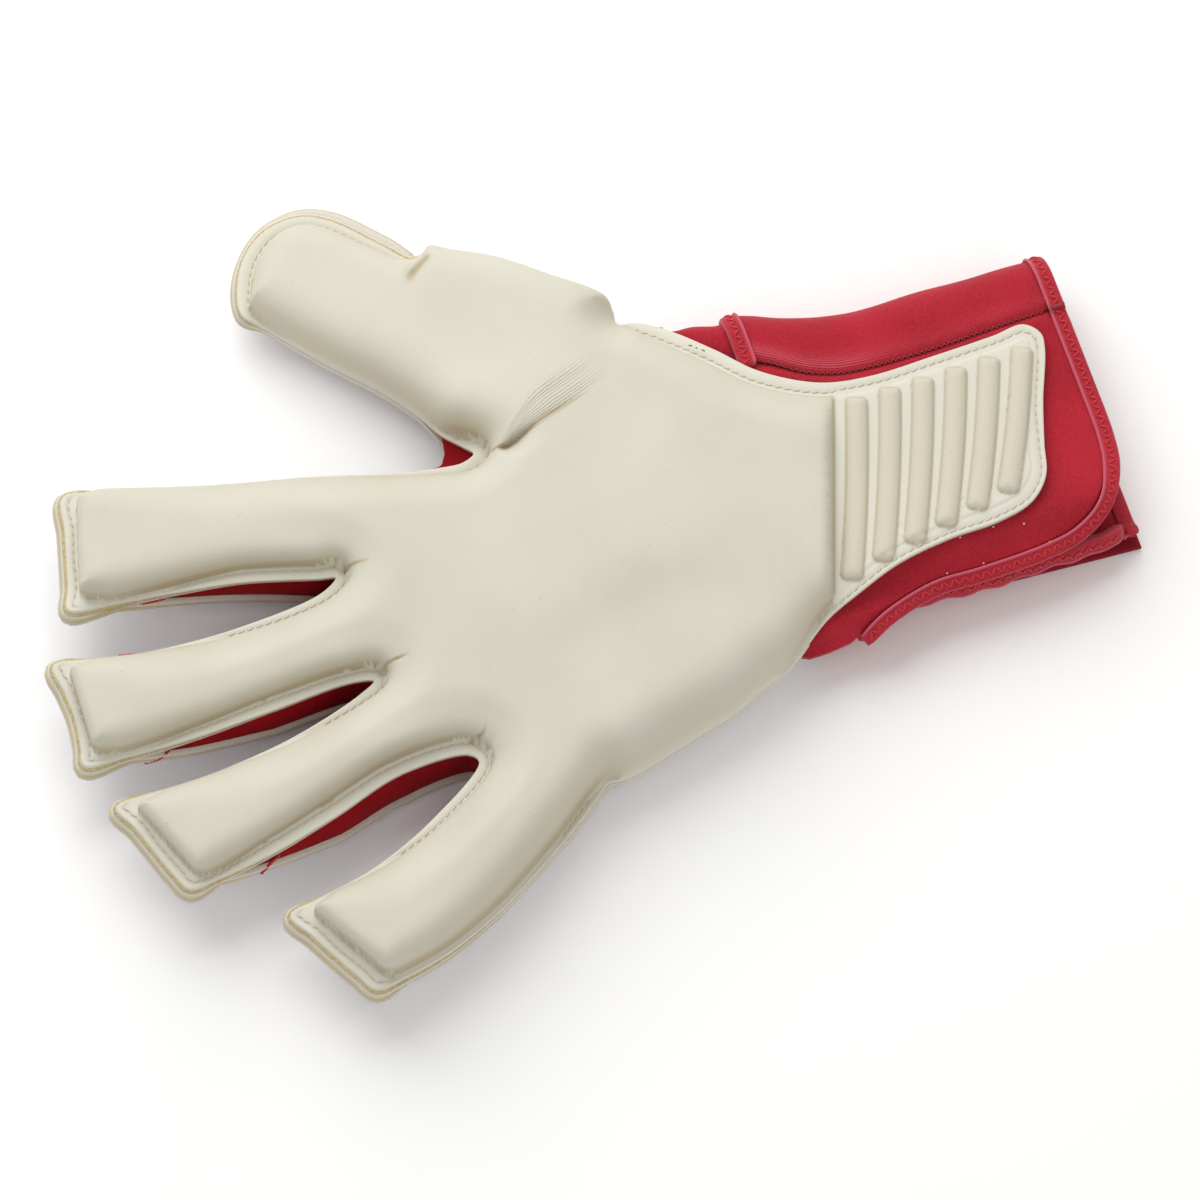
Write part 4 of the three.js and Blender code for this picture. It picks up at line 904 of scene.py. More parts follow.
# for each knit: its colours, how far they stand apart, its relief, its sheen and its marks
knits = {
    "gusset_stretch_mesh": (("#A00D18", "#820812", "#AA1A26"), 0.3, 0.00018, 0.0, {}),
    "cuff_neoprene_knit": (("#B01E2D", "#9C1725", "#BE3A4A"), 0.4, 0.00018, 0.12, {"stretch": "#D0707E"}),
    "folded_binding_tape": (("#B52333", "#A01B2A", "#C44555"), 0.4, 0.00014, 0.2, {"piping": "#C9566A"}),
    "smooth_strap_laminate": (("#8E1A26", "#7C131F", "#9A2631"), 0.15, 0.00006, 0.1, {}),
}
gussetCloth, cuffCloth, tapeCloth, strapCloth = (knitCloth(name, *values) for name, values in knits.items())
threads = {"pale": ("#E4E0D2", "#B4AD97"), "red": ("#D21223", "#AE0D1A"), "dark_red": ("#A31B2A", "#84111E"),
           "grey": ("#6E6A62", "#4C4944")}
paleThread, redThread, darkThread, greyThread = (threadMaterial(name + "_sewing_thread", *colours)
                                                 for name, colours in threads.items())
print("materials made")


def dress(piece, material, nodes):
    piece.data.materials.clear()
    piece.data.materials.append(material)
    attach(piece, "root")
    if nodes:
        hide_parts(*nodes)


palmValues = {
    "afterWelt": (-0.9, -0.5, -0.15, 0.04, 0.15, 0.35, 0.7, 1.2, 1.9, 2.8, 4.0, 5.6),
    "grid": 1.7, "underGrid": 5.0, "underRings": (3.0, 7.0), "padFade": 0.8,
    "ribInsets": (-0.45, -0.1, 0.06, 0.25, 0.6, 1.1, 1.7, 2.4), "ribStep": 1.1,
    "tipInsets": (-0.3, -0.1, 0.05, 0.18, 0.4, 0.75, 1.2, 1.8, 2.6),
    "scarpBand": (0, 0.12, -0.2, 0.35, 0.7, -0.7, 1.2, 2.0, -1.6),
    "endBand": (-0.45, -0.12, 0, 0.08, 0.25, 0.6, 1.1, 1.8, 2.6),
    "creaseBand": (0, 0.4, -0.4, 0.9, -0.9, 1.6, -1.6),
    "rim": ((0.2, 0.2, 0.12, 0.0), (0.26, 0.3, 0.42, 0.0), (0.08, 0.5, 0.46, 1.0), (0.18, 1.2, 0.6, 1.0),
            (0.16, 1.3, 0.76, 1.0), (0.02, 1.35, 0.82, 2.0), (0.1, 1.75, 0.9, 2.0), (0.06, 1.7, 0.98, 2.0)),
}


def palmDepths():
    def aroundStitches(step):
        def depth(outline):
            start = outline[:, 6] * (1 - outline[:, 3])
            return np.where(start > 1.2, stitchInset(outline[:, :2], start) + step, 0.4 + step * 0.3)
        return depth

    def pastWelt(step):
        return lambda outline: np.maximum(0.25, outline[:, 6] * (1 - outline[:, 3]) + step)

    rings = [lambda outline: np.full(len(outline), 0.3), lambda outline: np.full(len(outline), 0.7)]
    rings += [pastWelt(s) for s in palmValues["afterWelt"][3:5]]
    rings += [aroundStitches(s) for s in (0, -0.45, 0.45)]
    return rings + [pastWelt(s) for s in palmValues["afterWelt"] if s not in palmValues["afterWelt"][3:5]]


def bandPoints(path, offsets, step):
    # points beside a path, at each offset to both sides
    points = []
    for p, q in zip(path, path[1:]):
        length = math.dist(p, q)
        if length == 0:
            continue
        ux, uy = (q[0] - p[0]) / length, (q[1] - p[1]) / length
        for k in range(max(1, round(length / step))):
            s = k * length / max(1, round(length / step))
            for off in offsets:
                points.append((p[0] + ux * s - uy * off, p[1] + uy * s + ux * off))
    return points


def closedPath(corners, step):
    # points along the sides of a ring of corners
    points = []
    for p, q in zip(corners, corners[1:] + corners[:1]):
        pieces = max(1, round(math.dist(p, q) / step))
        points += [(p[0] + (q[0] - p[0]) * k / pieces, p[1] + (q[1] - p[1]) * k / pieces)
                   for k in range(pieces)]
    return points


def ribPoints():
    points = []
    for a, b in ribFrames():
        length = float(np.linalg.norm(b - a))
        along = (b - a) / length
        across = np.array((-along[1], along[0]))
        middle = (a + b) / 2
        for inset in palmValues["ribInsets"]:
            halfU, halfV = length / 2 - inset, ribValues["width"] / 2 - inset
            steps = []
            for cu, cv, turn in ((1, 1, 0), (-1, 1, 90), (-1, -1, 180), (1, -1, 270)):
                corner = max(0.15, ribValues["pinkyCorner" if cu > 0 else "thumbCorner"] - inset)
                for k in range(5):
                    angle = math.radians(turn + k * 22.5)
                    steps.append((cu * (halfU - corner) + corner * math.cos(angle),
                                  cv * (halfV - corner) + corner * math.sin(angle)))
            for u, v in closedPath(steps, palmValues["ribStep"]):
                bow = ribValues["bow"] * (1 - (2 * u / length) ** 2)
                points.append(tuple(middle + along * u + across * (v + bow)))
    return points


def tipPoints():
    # rows of points along the pads' squared ends
    places = []
    for finger in fingerShapes:
        angle = math.radians(finger["lean"])
        way = np.array((math.sin(angle), math.cos(angle)))
        rows = []
        for inset in palmValues["tipInsets"]:
            corner = max(0.2, tipValues["corner"] - inset)
            for side in (-1, 1):
                limit = halfWidth(finger, 0.98, side) - sideWelt(finger, 0.98, side) - inset
                end = float(padEndAlong(finger, side * limit)) - inset
                for along in np.linspace(0.84 * finger["length"], end - corner, 9):
                    t = along / finger["length"]
                    edge = halfWidth(finger, t, side) - sideWelt(finger, t, side)
                    rows.append((along, side * (edge - inset)))
                for k in range(1, 7):
                    turn = k * math.pi / 12
                    across = side * (limit - corner + corner * math.cos(turn))
                    end = float(padEndAlong(finger, across)) - inset
                    rows.append((end - corner + corner * math.sin(turn), across))
            for across in np.arange(-11.0, 11.1, 0.9):
                rows.append((float(padEndAlong(finger, across)) - inset, across))
        for along, across in rows:
            t = along / finger["length"]
            across += finger["bow"] * finger["length"] * 4 * t * (1 - t)
            root = np.array(handPoint(*finger["root"]))
            places.append(tuple(root + way * along + np.array((-way[1], way[0])) * across))
    return places


crotchBed = {"across": 0.45, "along": 0.39, "squaredRadius": 60, "behind": 2.5, "rows": 20,
             "thumbCrotch": (40.5, 22.0)}


def crotchPoints():
    # an even bed round each place where two digits part
    places = []
    steps = range(-crotchBed["rows"], crotchBed["rows"] + 1)
    for x, y in [handPoint(*crotch) for crotch in fingerCrotches] + [crotchBed["thumbCrotch"]]:
        for k in steps:
            for m in steps:
                across, along = crotchBed["across"] * (m + 0.5 * (k % 2)), crotchBed["along"] * k
                if across ** 2 + along ** 2 < crotchBed["squaredRadius"]:
                    places.append((x + across, y - crotchBed["behind"] + along))
    return places


def palmPiece():
    ends = [(x, padEndValues["y"] - padEndValues["slope"] * x) for x in (40.0, -40.0)]
    # wanted points, how far they keep apart, and how far inside the edge
    extra = [(tipPoints(), 0.14, 0.6), (crotchPoints(), 0.3, 3.9)]
    extra += [(bandPoints(item["path"], palmValues["scarpBand"], 0.7), 0.2, 3.9) for item in scarps]
    extra += [(bandPoints(ends, palmValues["endBand"], 0.9), 0.2, 1.5), (ribPoints(), 0.25, 2.2)]
    extra += [(bandPoints(item["path"], palmValues["creaseBand"], 0.8), 0.32, 1.0) for item in creases]
    verts, faces, edgeCount = fillSheet(palmOutline, palmOut, palmDepths(), palmValues["grid"], extra)
    fields = palmFields(verts)
    heights = fields["height"]
    heights[:edgeCount] = palmOutline[:, 2]
    # the crease and tone marks carry the painted shade to the material
    values = {key: fields[key] for key in ("creaseShade", "tone", "rib", "phase", "wrinkle")}
    values["pad"] = np.clip(fields["run"] / palmValues["padFade"], 0, 1) * (1 - fields["share"])
    values["layer"] = np.zeros(len(verts))
    underVerts, underFaces, underEdge = fillSheet(palmOutline, palmOut, palmValues["underRings"],
                                                  palmValues["underGrid"])
    underHeights = palmUnderHeight(underVerts)
    underHeights[:underEdge] = palmOutline[:, 2] - pv["weltThickness"]
    underValues = {"layer": np.full(len(underVerts), 2.0), "pad": np.zeros(len(underVerts))}
    rim = rimRows(palmOutline, palmOut, pv["weltThickness"], palmValues["rim"])
    piece = sheetPiece("palm_latex", (verts, faces, heights, values, edgeCount),
                       (underVerts, underFaces, underHeights, underValues, underEdge), rim,
                       ("creaseShade", "tone", "rib", "pad", "layer", "phase", "wrinkle"))
    dress(piece, latex, ["palm"])
    print("palm", len(piece.data.polygons), "faces")
    return piece


palmPiece()

stitchValues = {"pitch": 2.5, "length": 1.9, "width": 0.52, "slant": 0.2, "leastWelt": 1.5, "sides": 6,
                "rounds": 4}


def stitchPiece(name, stitches, material, width=None):
    # each stitch is a small bead of thread from one needle hole to the next
    bm = bmesh.new()
    wide = (width or stitchValues["width"]) / 2
    for start, end, face in stitches:
        start, end = Vector(start), Vector(end)
        along = (end - start).normalized()
        side = Vector(face).cross(along).normalized()
        turn = Matrix((side, along.cross(side), along)).transposed().to_4x4()
        size = Matrix.Diagonal((wide * metre, wide * metre, (end - start).length / 2 * metre, 1))
        place = Matrix.Translation(Vector(inRow(*((start + end) / 2)))) @ turn @ size
        bmesh.ops.create_uvsphere(bm, u_segments=stitchValues["sides"], v_segments=stitchValues["rounds"],
                                  radius=1, matrix=place)
    dress(newPiece(name, bm), material, [])


def evenly(path, pitch):
    # the path's places at every pitch
    path = np.asarray(path, dtype=float)
    lengths = np.concatenate([[0], np.cumsum(np.linalg.norm(np.diff(path, axis=0), axis=1))])
    wanted = np.arange(0, lengths[-1], pitch)
    return np.stack([np.interp(wanted, lengths, path[:, c]) for c in range(path.shape[1])], axis=1)


def weltRuns():
    # the stitched line inside the palm's edge, in the stretches that have a flat welt
    start = palmOutline[:, 6] * (1 - palmOutline[:, 3])
    inset = stitchInset(palmOutline[:, :2], start)
    line = palmOutline[:, :2] - palmOut * inset[:, None]
    reached = nearEdge(palmOutline, line)[:, 0]
    runs = [[]]
    for place, depth, wanted, welt in zip(line, reached, inset, start):
        if welt >= stitchValues["leastWelt"] and depth > 0.9 * wanted:
            runs[-1].append(tuple(place))
        elif runs[-1] and math.dist(runs[-1][-1], tuple(place)) > 1.6:
            runs.append([])
    return [run for run in runs if len(run) > 4]


def palmStitches():
    starts, ends = [], []
    for run in weltRuns():
        places = evenly(run, 0.25)
        step, half = round(stitchValues["pitch"] / 0.25), round(stitchValues["length"] / 0.5)
        for k in range(half, len(places) - half, step):
            a, b = places[k - half], places[k + half]
            if math.dist(a, b) > 1.1 * stitchValues["length"]:
                continue
            across = np.array((a[1] - b[1], b[0] - a[0])) / math.dist(a, b) * stitchValues["slant"]
            starts.append(a - across)
            ends.append(b + across)
    depths = [palmFields(np.array(places))["height"] + 0.1 for places in (starts, ends)]
    return [((*a, za), (*b, zb), (0, 0, 1)) for a, b, za, zb in zip(starts, ends, *depths)]


stitchPiece("palm_stitches", palmStitches(), paleThread)


def threadRuns(runs, length):
    # short beads one after another along free runs of thread
    stitches = []
    for run in runs:
        places = evenly(run, length * 0.6)
        for i in range(len(places) - 1):
            wobble = np.array((0, 0, 0.15 * (-1) ** i))
            stitches.append((tuple(places[i] - wobble), tuple(places[i + 1] + wobble), (0, 0, 1)))
    return stitches


gussetThreadRuns = [
    [(28.9, 127.4, 17.6), (28.6, 123.1, 17.6), (28.2, 119.6, 17.8), (28.0, 116.4, 18)],
    [(16.1, 132.6, 18.6), (15.6, 130.3, 18.6), (15.0, 128.0, 18.6)],
    [(-13.3, 134.3, 15.8), (-13.7, 132.4, 16.3), (-13.8, 130.0, 16.9), (-13.2, 128.4, 17.5),
     (-12.6, 127.0, 18)],
    [(-51.4, 114.0, 15.5), (-50.6, 112.4, 16.2), (-49.5, 110.2, 17), (-48.6, 107.9, 18)],
    [(-63.4, 97.8, 18.6), (-62.9, 95.1, 18.6), (-62.3, 92.1, 18.6)],
]
looseEnds = [
    [(-56.3, 24.9, 10), (-55.2, 23.5, 10.6), (-54.3, 22.1, 11.2), (-53.5, 21.3, 12)],
    [(64.4, -27.2, 15.6), (63.4, -28.2, 16.4), (62.9, -29.6, 16.2), (61.9, -31.0, 16.9), (61.6, -32.6, 16.6)],
    [(-28.8, -81.2, 17.5), (-28.9, -82.0, 17.7)], [(-21.6, -87.1, 21.4), (-21.4, -87.9, 21.5)],
    [(-29.0, -91.3, 17.4), (-29.3, -92.0, 17.6)], [(-21.4, -96.4, 21.4), (-21.6, -97.1, 21.6)],
    [(-28.8, -110.0, 17.6), (-28.9, -110.8, 17.9)], [(-23.0, -104.6, 20.6), (-22.7, -105.3, 20.8)],
]
cutEnds = [[(52.2, -36.5, 22.6), (51.5, -37.5, 23.0)], [(50.9, -38.0, 22.8), (50.4, -38.6, 23.1)],
           [(49.9, -39.4, 22.8), (49.0, -40.0, 23.1)]]
# for each free thread: its runs, the beads' length, the thread's material and slot, and its width
freeThreads = {
    "gusset_end_threads": (gussetThreadRuns, 1.3, redThread, "gusset_fabric", 1.0),
    "loose_pale_threads": (looseEnds, 0.9, paleThread, "latex_palm", 0.6),
    "cut_thread_ends": (cutEnds, 0.9, greyThread, "latex_palm", 0.45),
}
for name, (runs, length, thread, slot, width) in freeThreads.items():
    stitchPiece(name, threadRuns(runs, length), thread, width)
print("palm stitched")

backValues = {
    "grid": 6.0, "rings": (0.8, 2.0, 4.0, 6.0, 8.5, 11.5, 15.0), "least": 0.25,
    "rim": ((0.15, 0.2, 0.1, 0.0), (0.2, 0.3, 0.3, 0.0), (0.05, 0.5, 0.34, 1.0), (0.15, 0.95, 0.46, 1.0),
            (0.12, 1.0, 0.62, 1.0), (0.0, 1.05, 0.66, 2.0), (0.12, 1.3, 0.78, 2.0), (0.1, 1.2, 0.94, 2.0)),
}


def backOutlineRows():
    kept = palmOutline[:, 1] >= wristY + 1
    rows = palmOutline[kept].copy()
    out = palmOut[kept]
    rows[:, 0] += out[:, 0] * rows[:, 5]
    rows[:, 1] += out[:, 1] * rows[:, 5]
    gap = pv["seamGap"] * (1 + (rows[:, 4] > 1))
    rows[:, 2] = rows[:, 2] - pv["weltThickness"] - gap - rows[:, 4]
    apart = [rows[0]]  # the step outward draws the points together where two fingers part
    for row in rows[1:]:
        if math.dist(row[:2], apart[-1][:2]) > backValues["least"]:
            apart.append(row)
    rows = np.array(apart)
    first, last = rows[0], rows[-1]
    pieces = round(math.hypot(first[0] - last[0], first[1] - last[1]) / pv["outlineStep"] / 2)
    wrist = []
    for k in range(1, pieces):
        t = k / pieces
        place = last + (first - last) * t
        place[1] = min(place[1], wristY)
        place[2] = pv["backThickness"]
        place[3] = 0
        wrist.append(place)
    return np.vstack([rows, np.array(wrist)])


backOutline = backOutlineRows()
backOut = outwardNormals(backOutline)


def backFloor(points):
    return np.maximum(0, blendSpots(backSpots, points))


def backTopHeight(points):
    near = nearEdge(backOutline, points)
    run = np.maximum(0, near[:, 0] - pv["backThickness"] - 4 * (1 - near[:, 2]))
    return near[:, 1] + (backFloor(points) + pv["backThickness"] - near[:, 1]) * risen(run, 10, near[:, 2])


def backUnderHeight(points):
    near = nearEdge(backOutline, points)
    edge = near[:, 1] - pv["backThickness"]
    flat = np.clip(near[:, 0] / 14, 0, 1)
    run = np.maximum(0, near[:, 0] - 4 * (1 - near[:, 2]))
    share = np.maximum(risen(run, 10, near[:, 2]), flat * flat)
    return edge + (backFloor(points) - edge) * share


def backPiece():
    verts, faces, edgeCount = fillSheet(backOutline, backOut, backValues["rings"], backValues["grid"])
    heights = backTopHeight(verts)
    heights[:edgeCount] = backOutline[:, 2]
    underHeights = backUnderHeight(verts)
    underHeights[:edgeCount] = backOutline[:, 2] - pv["backThickness"]
    rim = rimRows(backOutline, backOut, pv["backThickness"], backValues["rim"])
    piece = sheetPiece("backhand_cloth", (verts, faces, heights, {"layer": np.zeros(len(verts))}, edgeCount),
                       (verts, faces, underHeights, {"layer": np.full(len(verts), 2.0)}, edgeCount),
                       rim, ("layer",))
    dress(piece, backCloth, ["backhand"])
    print("backhand", len(piece.data.polygons), "faces")
    return piece


backhand = backPiece()


def loftRings(name, rings, marks=None):
    # each ring is bridged to the next one, so the piece follows its path; marks are values per ring and point
    bm = bmesh.new()
    count = len(rings[0])
    layers = layerValues(bm, marks or {})
    loops = []
    for index, ring in enumerate(rings):
        verts = [bm.verts.new(inRow(*p)) for p in ring]
        for key, rows in (marks or {}).items():
            for vert, value in zip(verts, rows[index]):
                vert[layers[key]] = value
        loops.append([bm.edges.new((verts[i], verts[(i + 1) % count])) for i in range(count)])
    for first, second in zip(loops, loops[1:]):
        bmesh.ops.bridge_loops(bm, edges=first + second)
    for loop in (loops[0], loops[-1]):
        bmesh.ops.contextual_create(bm, geom=loop)
    bmesh.ops.recalc_face_normals(bm, faces=bm.faces[:])
    return newPiece(name, bm)


def smoothPath(points, step):
    # an open centripetal curve through the points, sampled evenly
    rows = [np.array(p, dtype=float) for p in points]
    rows = [2 * rows[0] - rows[1]] + rows + [2 * rows[-1] - rows[-2]]
    dense = []
    for i in range(1, len(rows) - 2):
        p0, p1, p2, p3 = rows[i - 1:i + 3]
        gaps = [max(1e-4, float(np.linalg.norm(b - a))) ** 0.5 for a, b in ((p0, p1), (p1, p2), (p2, p3))]
        start = ((p1 - p0) / gaps[0] - (p2 - p0) / (gaps[0] + gaps[1]) + (p2 - p1) / gaps[1]) * gaps[1]
        end = ((p2 - p1) / gaps[1] - (p3 - p1) / (gaps[1] + gaps[2]) + (p3 - p2) / gaps[2]) * gaps[1]
        for k in range(24):
            t = k / 24
            dense.append(p1 + start * t + (-3 * p1 + 3 * p2 - 2 * start - end) * t * t
                         + (2 * p1 - 2 * p2 + start + end) * t ** 3)
    dense.append(rows[-2])
    dense = np.array(dense)
    lengths = np.concatenate([[0], np.cumsum(np.linalg.norm(np.diff(dense, axis=0), axis=1))])
    count = max(2, round(lengths[-1] / step))
    wanted = np.linspace(0, lengths[-1], count + 1)
    return np.stack([np.interp(wanted, lengths, dense[:, c]) for c in range(dense.shape[1])], axis=1)


gussetValues = {"least": 0.9, "topInset": 1.4, "footInset": 1.2, "thickness": 1.0, "bulge": 0.8, "rows": 10}


def gussetRuns():
    runs = []
    for index, vertex in enumerate(palmOutline):
        if vertex[4] < gussetValues["least"]:
            continue
        if runs and runs[-1][-1] == index - 1:
            runs[-1].append(index)
        else:
            runs.append([index])
    return [run for run in runs if len(run) > 10]


def gussetPiece(name, node, run):
    gv = gussetValues
    rings = []
    base = palmOutline[run, :2]
    out = palmOut[run]
    top = base - out * gv["topInset"]
    foot = base + out * (palmOutline[run, 5][:, None] - gv["footInset"])
    topZ = palmUnderHeight(top) - 0.1
    footZ = backTopHeight(foot) + 0.1
    for i in range(len(run)):
        outer, inner = [], []
        fold = 0.25 * math.sin(i * 0.55) + 0.18 * math.sin(i * 0.23 + 1)
        for row in range(gv["rows"] + 1):
            t = row / gv["rows"]
            swell = (gv["bulge"] + fold) * math.sin(math.pi * t) * min(1, (topZ[i] - footZ[i]) / 8)
            x = top[i][0] + (foot[i][0] - top[i][0]) * t + out[i][0] * swell
            y = top[i][1] + (foot[i][1] - top[i][1]) * t + out[i][1] * swell
            z = topZ[i] + (footZ[i] - topZ[i]) * t
            outer.append((x, y, z))
            inner.append((x - out[i][0] * gv["thickness"], y - out[i][1] * gv["thickness"], z))
        rings.append(outer + inner[::-1])
    piece = loftRings(name, rings)
    dress(piece, gussetCloth, [node])
    return piece


gussetNodes = ("gusset_thumb_index", "gusset_index_middle", "gusset_middle_ring", "gusset_ring_little")
gussets = [gussetPiece(node + "_mesh", node, run) for node, run in zip(gussetNodes, gussetRuns())]


def webPiece():
    # the stretch mesh between the thumb and the index finger, drawn into a hollow front edge
    thumbEdge = smoothPath([(40.2, 24.4), (44.0, 27.0), (48.0, 29.8), (52.4, 33.0)], 0.9)
    fingerEdge = smoothPath([(37.4, 26.6), (38.2, 31.0), (39.6, 35.2), (41.4, 38.8)], 0.9)
    rings = []
    for k in range(15):
        share = k / 14
        a, b = (path[round(share * (len(path) - 1))] for path in (thumbEdge, fingerEdge))
        span = float(np.linalg.norm(b - a))
        out = np.array((0.74, 0.67))
        az, bz = palmUnderHeight(np.array([a, b])) - 0.4
        top, low = [], []
        for i in range(13):
            t = i / 12
            hollow = math.sin(math.pi * t)
            x, y = a + (b - a) * t - out * hollow * 0.16 * span * share
            z = az + (bz - az) * t - hollow * (1.0 + 3.2 * share)
            top.append((x, y, z))
            low.append((x, y, z - 0.9))
        rings.append(top + low[::-1])
    piece = loftRings("thumb_web_mesh", rings)
    dress(piece, gussetCloth, [])
    return piece


thumbWeb = webPiece()
print("gussets", len(gussets))

cuffValues = {
    "panelTop": pv["weltHeight"] * 1.09 - pv["weltThickness"] - pv["seamGap"],
    "pinkyTurn": 5.0, "pinkyHeight": 9.4, "foldSteps": 16,
    "topSteps": (0, 0.03, 0.07, 0.12, 0.18, 0.26, 0.36, 0.52, 0.76),
    "seamDip": 0.85, "seamPuff": 0.45, "panelRings": (0.35, 0.8, 1.3, 1.9, 2.7, 3.8), "panelGrid": 2.2,
    "strapRings": (0.6, 1.6), "strapGrid": 5.0,
}
wrapMiddle = cuffValues["panelTop"] - pv["clothThickness"] / 2
wrapFloor = pv["strapThickness"] + pv["seamGap"] + pv["bindingThickness"] / 2
cuffEnd = cuffPoint(0, 1)[1]
clothEnd = cuffEnd + pv["bindingWidth"] + pv["seamGap"]
hemLine = wristY - 0.107 * pv["cuffLength"]

# Columns: share of the cuff's length, the seam's x, the thumb-side fold's x and the little-finger side's x
wrapSections = [
    (0.105, 0.535, 0.712, -0.425), (0.18, 0.455, 0.672, -0.4), (0.27, 0.398, 0.628, -0.375),
    (0.36, 0.378, 0.605, -0.362), (0.48, 0.374, 0.599, -0.366), (0.62, 0.374, 0.598, -0.376),
    (0.78, 0.384, 0.597, -0.372), (1, 0.39, 0.59, -0.345),
]


def wrapAt(y):
    share = (wristY - y) / pv["cuffLength"]
    xs = [row[0] for row in wrapSections]
    return [float(np.interp(share, xs, [row[c] for row in wrapSections])) * pv["cuffWidth"] for c in (1, 2, 3)]


smoothWrap = {}


def wrapSmooth(y):
    # the section's values averaged over a short stretch, so that the folds run smoothly
    key = round(y, 2)
    if key not in smoothWrap:
        samples = [wrapAt(y + d) for d in (-6, -4, -2, 0, 2, 4, 6)]
        smoothWrap[key] = [sum(s[c] for s in samples) / len(samples) for c in range(3)]
    return smoothWrap[key]


def wrapLine(y):
    # the wrap's middle line across the wrist: x, z and the normal that points out
    seam, fold, pinky = wrapSmooth(y)
    radius = (wrapMiddle - wrapFloor) / 2
    start = seam + pv["seamGap"]
    top = fold - radius
    line = [(start + (top - start) * t, wrapMiddle, 0.0, 1.0) for t in cuffValues["topSteps"]]
    for step in range(cuffValues["foldSteps"] + 1):
        angle = step / cuffValues["foldSteps"] * math.pi
        nx, nz = math.sin(angle), math.cos(angle)
        line.append((top + radius * nx, wrapFloor + radius + radius * nz, nx, nz))
    turn = cuffValues["pinkyTurn"]
    corner = pinky + turn
    span = top - corner
    for k in range(1, 12):
        line.append((top - span * k / 12, wrapFloor, 0.0, -1.0))
    for step in range(9):
        angle = step / 8 * math.pi / 2
        nx, nz = -math.sin(angle), -math.cos(angle)
        line.append((corner + turn * nx, wrapFloor + turn + turn * nz, nx, nz))
    line.append((pinky, (wrapFloor + turn + cuffValues["pinkyHeight"]) / 2 + 0.5, -1.0, 0.0))
    line.append((pinky, cuffValues["pinkyHeight"], -1.0, 0.0))
    return line


foldCount = len(cuffValues["topSteps"]) + cuffValues["foldSteps"] + 1


def seamLift(gap):
    # the sewn seam pulls the cloth down into a groove, with a soft puff beside it
    puff = cuffValues["seamPuff"] * np.exp(-((gap - 2.8) / 1.7) ** 2)
    return puff - cuffValues["seamDip"] * np.exp(-gap / 1.1)


def wrapStart(index):
    # behind the hem on top, and at the wrist line underneath
    if index < foldCount - 2:
        return hemLine
    return wristY - 1


def wrapPiece():
    stations = 60
    rings, stretch, phase = [], [], []
    count = len(wrapLine(clothEnd))
    for station in range(stations + 1):
        t = station / stations
        outer, inner, marks, turns = [], [], [], []
        for index in range(count):
            y = wrapStart(index) + (clothEnd - wrapStart(index)) * t
            x, z, nx, nz = wrapLine(y)[index]
            half = pv["clothThickness"] / 2
            gap = x - wrapSmooth(y)[0]
            onTop = index < len(cuffValues["topSteps"])
            sag = 0.5 * math.sin(math.pi * t) * math.exp(-((index - 8) / 5.0) ** 2)
            ends = min(1, 5 * t, 5 * (1 - t))
            ripple = 0.22 * math.sin(y * 0.21 + index * 0.25) * (1 if index < foldCount else 0.4) * ends
            lift = half + ripple * min(1, abs(gap) / 5) - sag + (seamLift(gap) if onTop else 0)
            outer.append((x + nx * lift, y, z + nz * lift))
            inner.append((x - nx * half, y, z - nz * half))
            # pale drawn lines beside the seam, near the hem
            near = min(1, max(0, (gap - 0.9) / 0.8)) * min(1, max(0, (6.5 - gap) / 4))
            marks.append(0.6 * near * onTop * max(0.15, float(smooth((y + 96) / 26))))
            turns.append(gap / 0.72 + 0.25 * math.sin(y * 0.13))
        rings.append(outer + inner[::-1])
        stretch.append(marks + [0.0] * count)
        phase.append(turns + turns[::-1])
    piece = loftRings("cuff_wrap_knit", rings, {"stretch": stretch, "phase": phase})
    dress(piece, cuffCloth, ["cuff_wrap"])
    return piece


cuffWrap = wrapPiece()

panelFreeEdge = [(-0.07, 0.95), (-0.166, 0.936), (-0.265, 0.885), (-0.32, 0.801), (-0.341, 0.699),
                 (-0.35, 0.508), (-0.35, 0.367), (-0.396, 0.211), (-0.434, 0.132)]
panelHandEdge = [(-0.448, 0.105), (-0.458, 0.02), (-0.448, -0.045), (-0.36, -0.02), (-0.2, 0.04), (0.05, 0.02),
                 (0.38, 0.03)]


def panelShape():
    start = hemLine + 2
    seam = [(wrapSmooth(y)[0] - pv["seamGap"], y) for y in np.linspace(clothEnd, start, 60)]
    end = [(x * pv["cuffWidth"], clothEnd) for x in (0.36, 0.24, 0.12, 0.02)]
    free = smoothPath([end[-1]] + [cuffPoint(x, y) for x, y in panelFreeEdge], 1.5)[1:]
    hand = smoothPath([cuffPoint(x, y) for x, y in panelHandEdge], 3.0)
    endDense = smoothPath([end[-1], end[0]], 2.0)[:-1]
    outline = [tuple(p) for p in seam] + [tuple(p) for p in hand[::-1]] + [tuple(p) for p in free[::-1]]
    outline += [tuple(p) for p in endDense]
    bound = [(seam[0][0] + 1.6, clothEnd), (seam[0][0], clothEnd)] + [tuple(p) for p in endDense[::-1]]
    bound += [tuple(p) for p in free]
    return np.array(outline), np.array(bound)


panelOutline, panelBound = panelShape()


def panelSurface(points):
    # level under the tongue, and falling away towards the free edge and the heel's corner
    under = nearEdge(palmOutline, points)[:, 1] - pv["weltThickness"] - 2 * pv["seamGap"]
    fall = 4.2 * smooth((-19 - points[:, 0]) / 11) + 4.0 * smooth((-32 - points[:, 0]) / 6)
    return np.minimum(cuffValues["panelTop"] - fall, under)


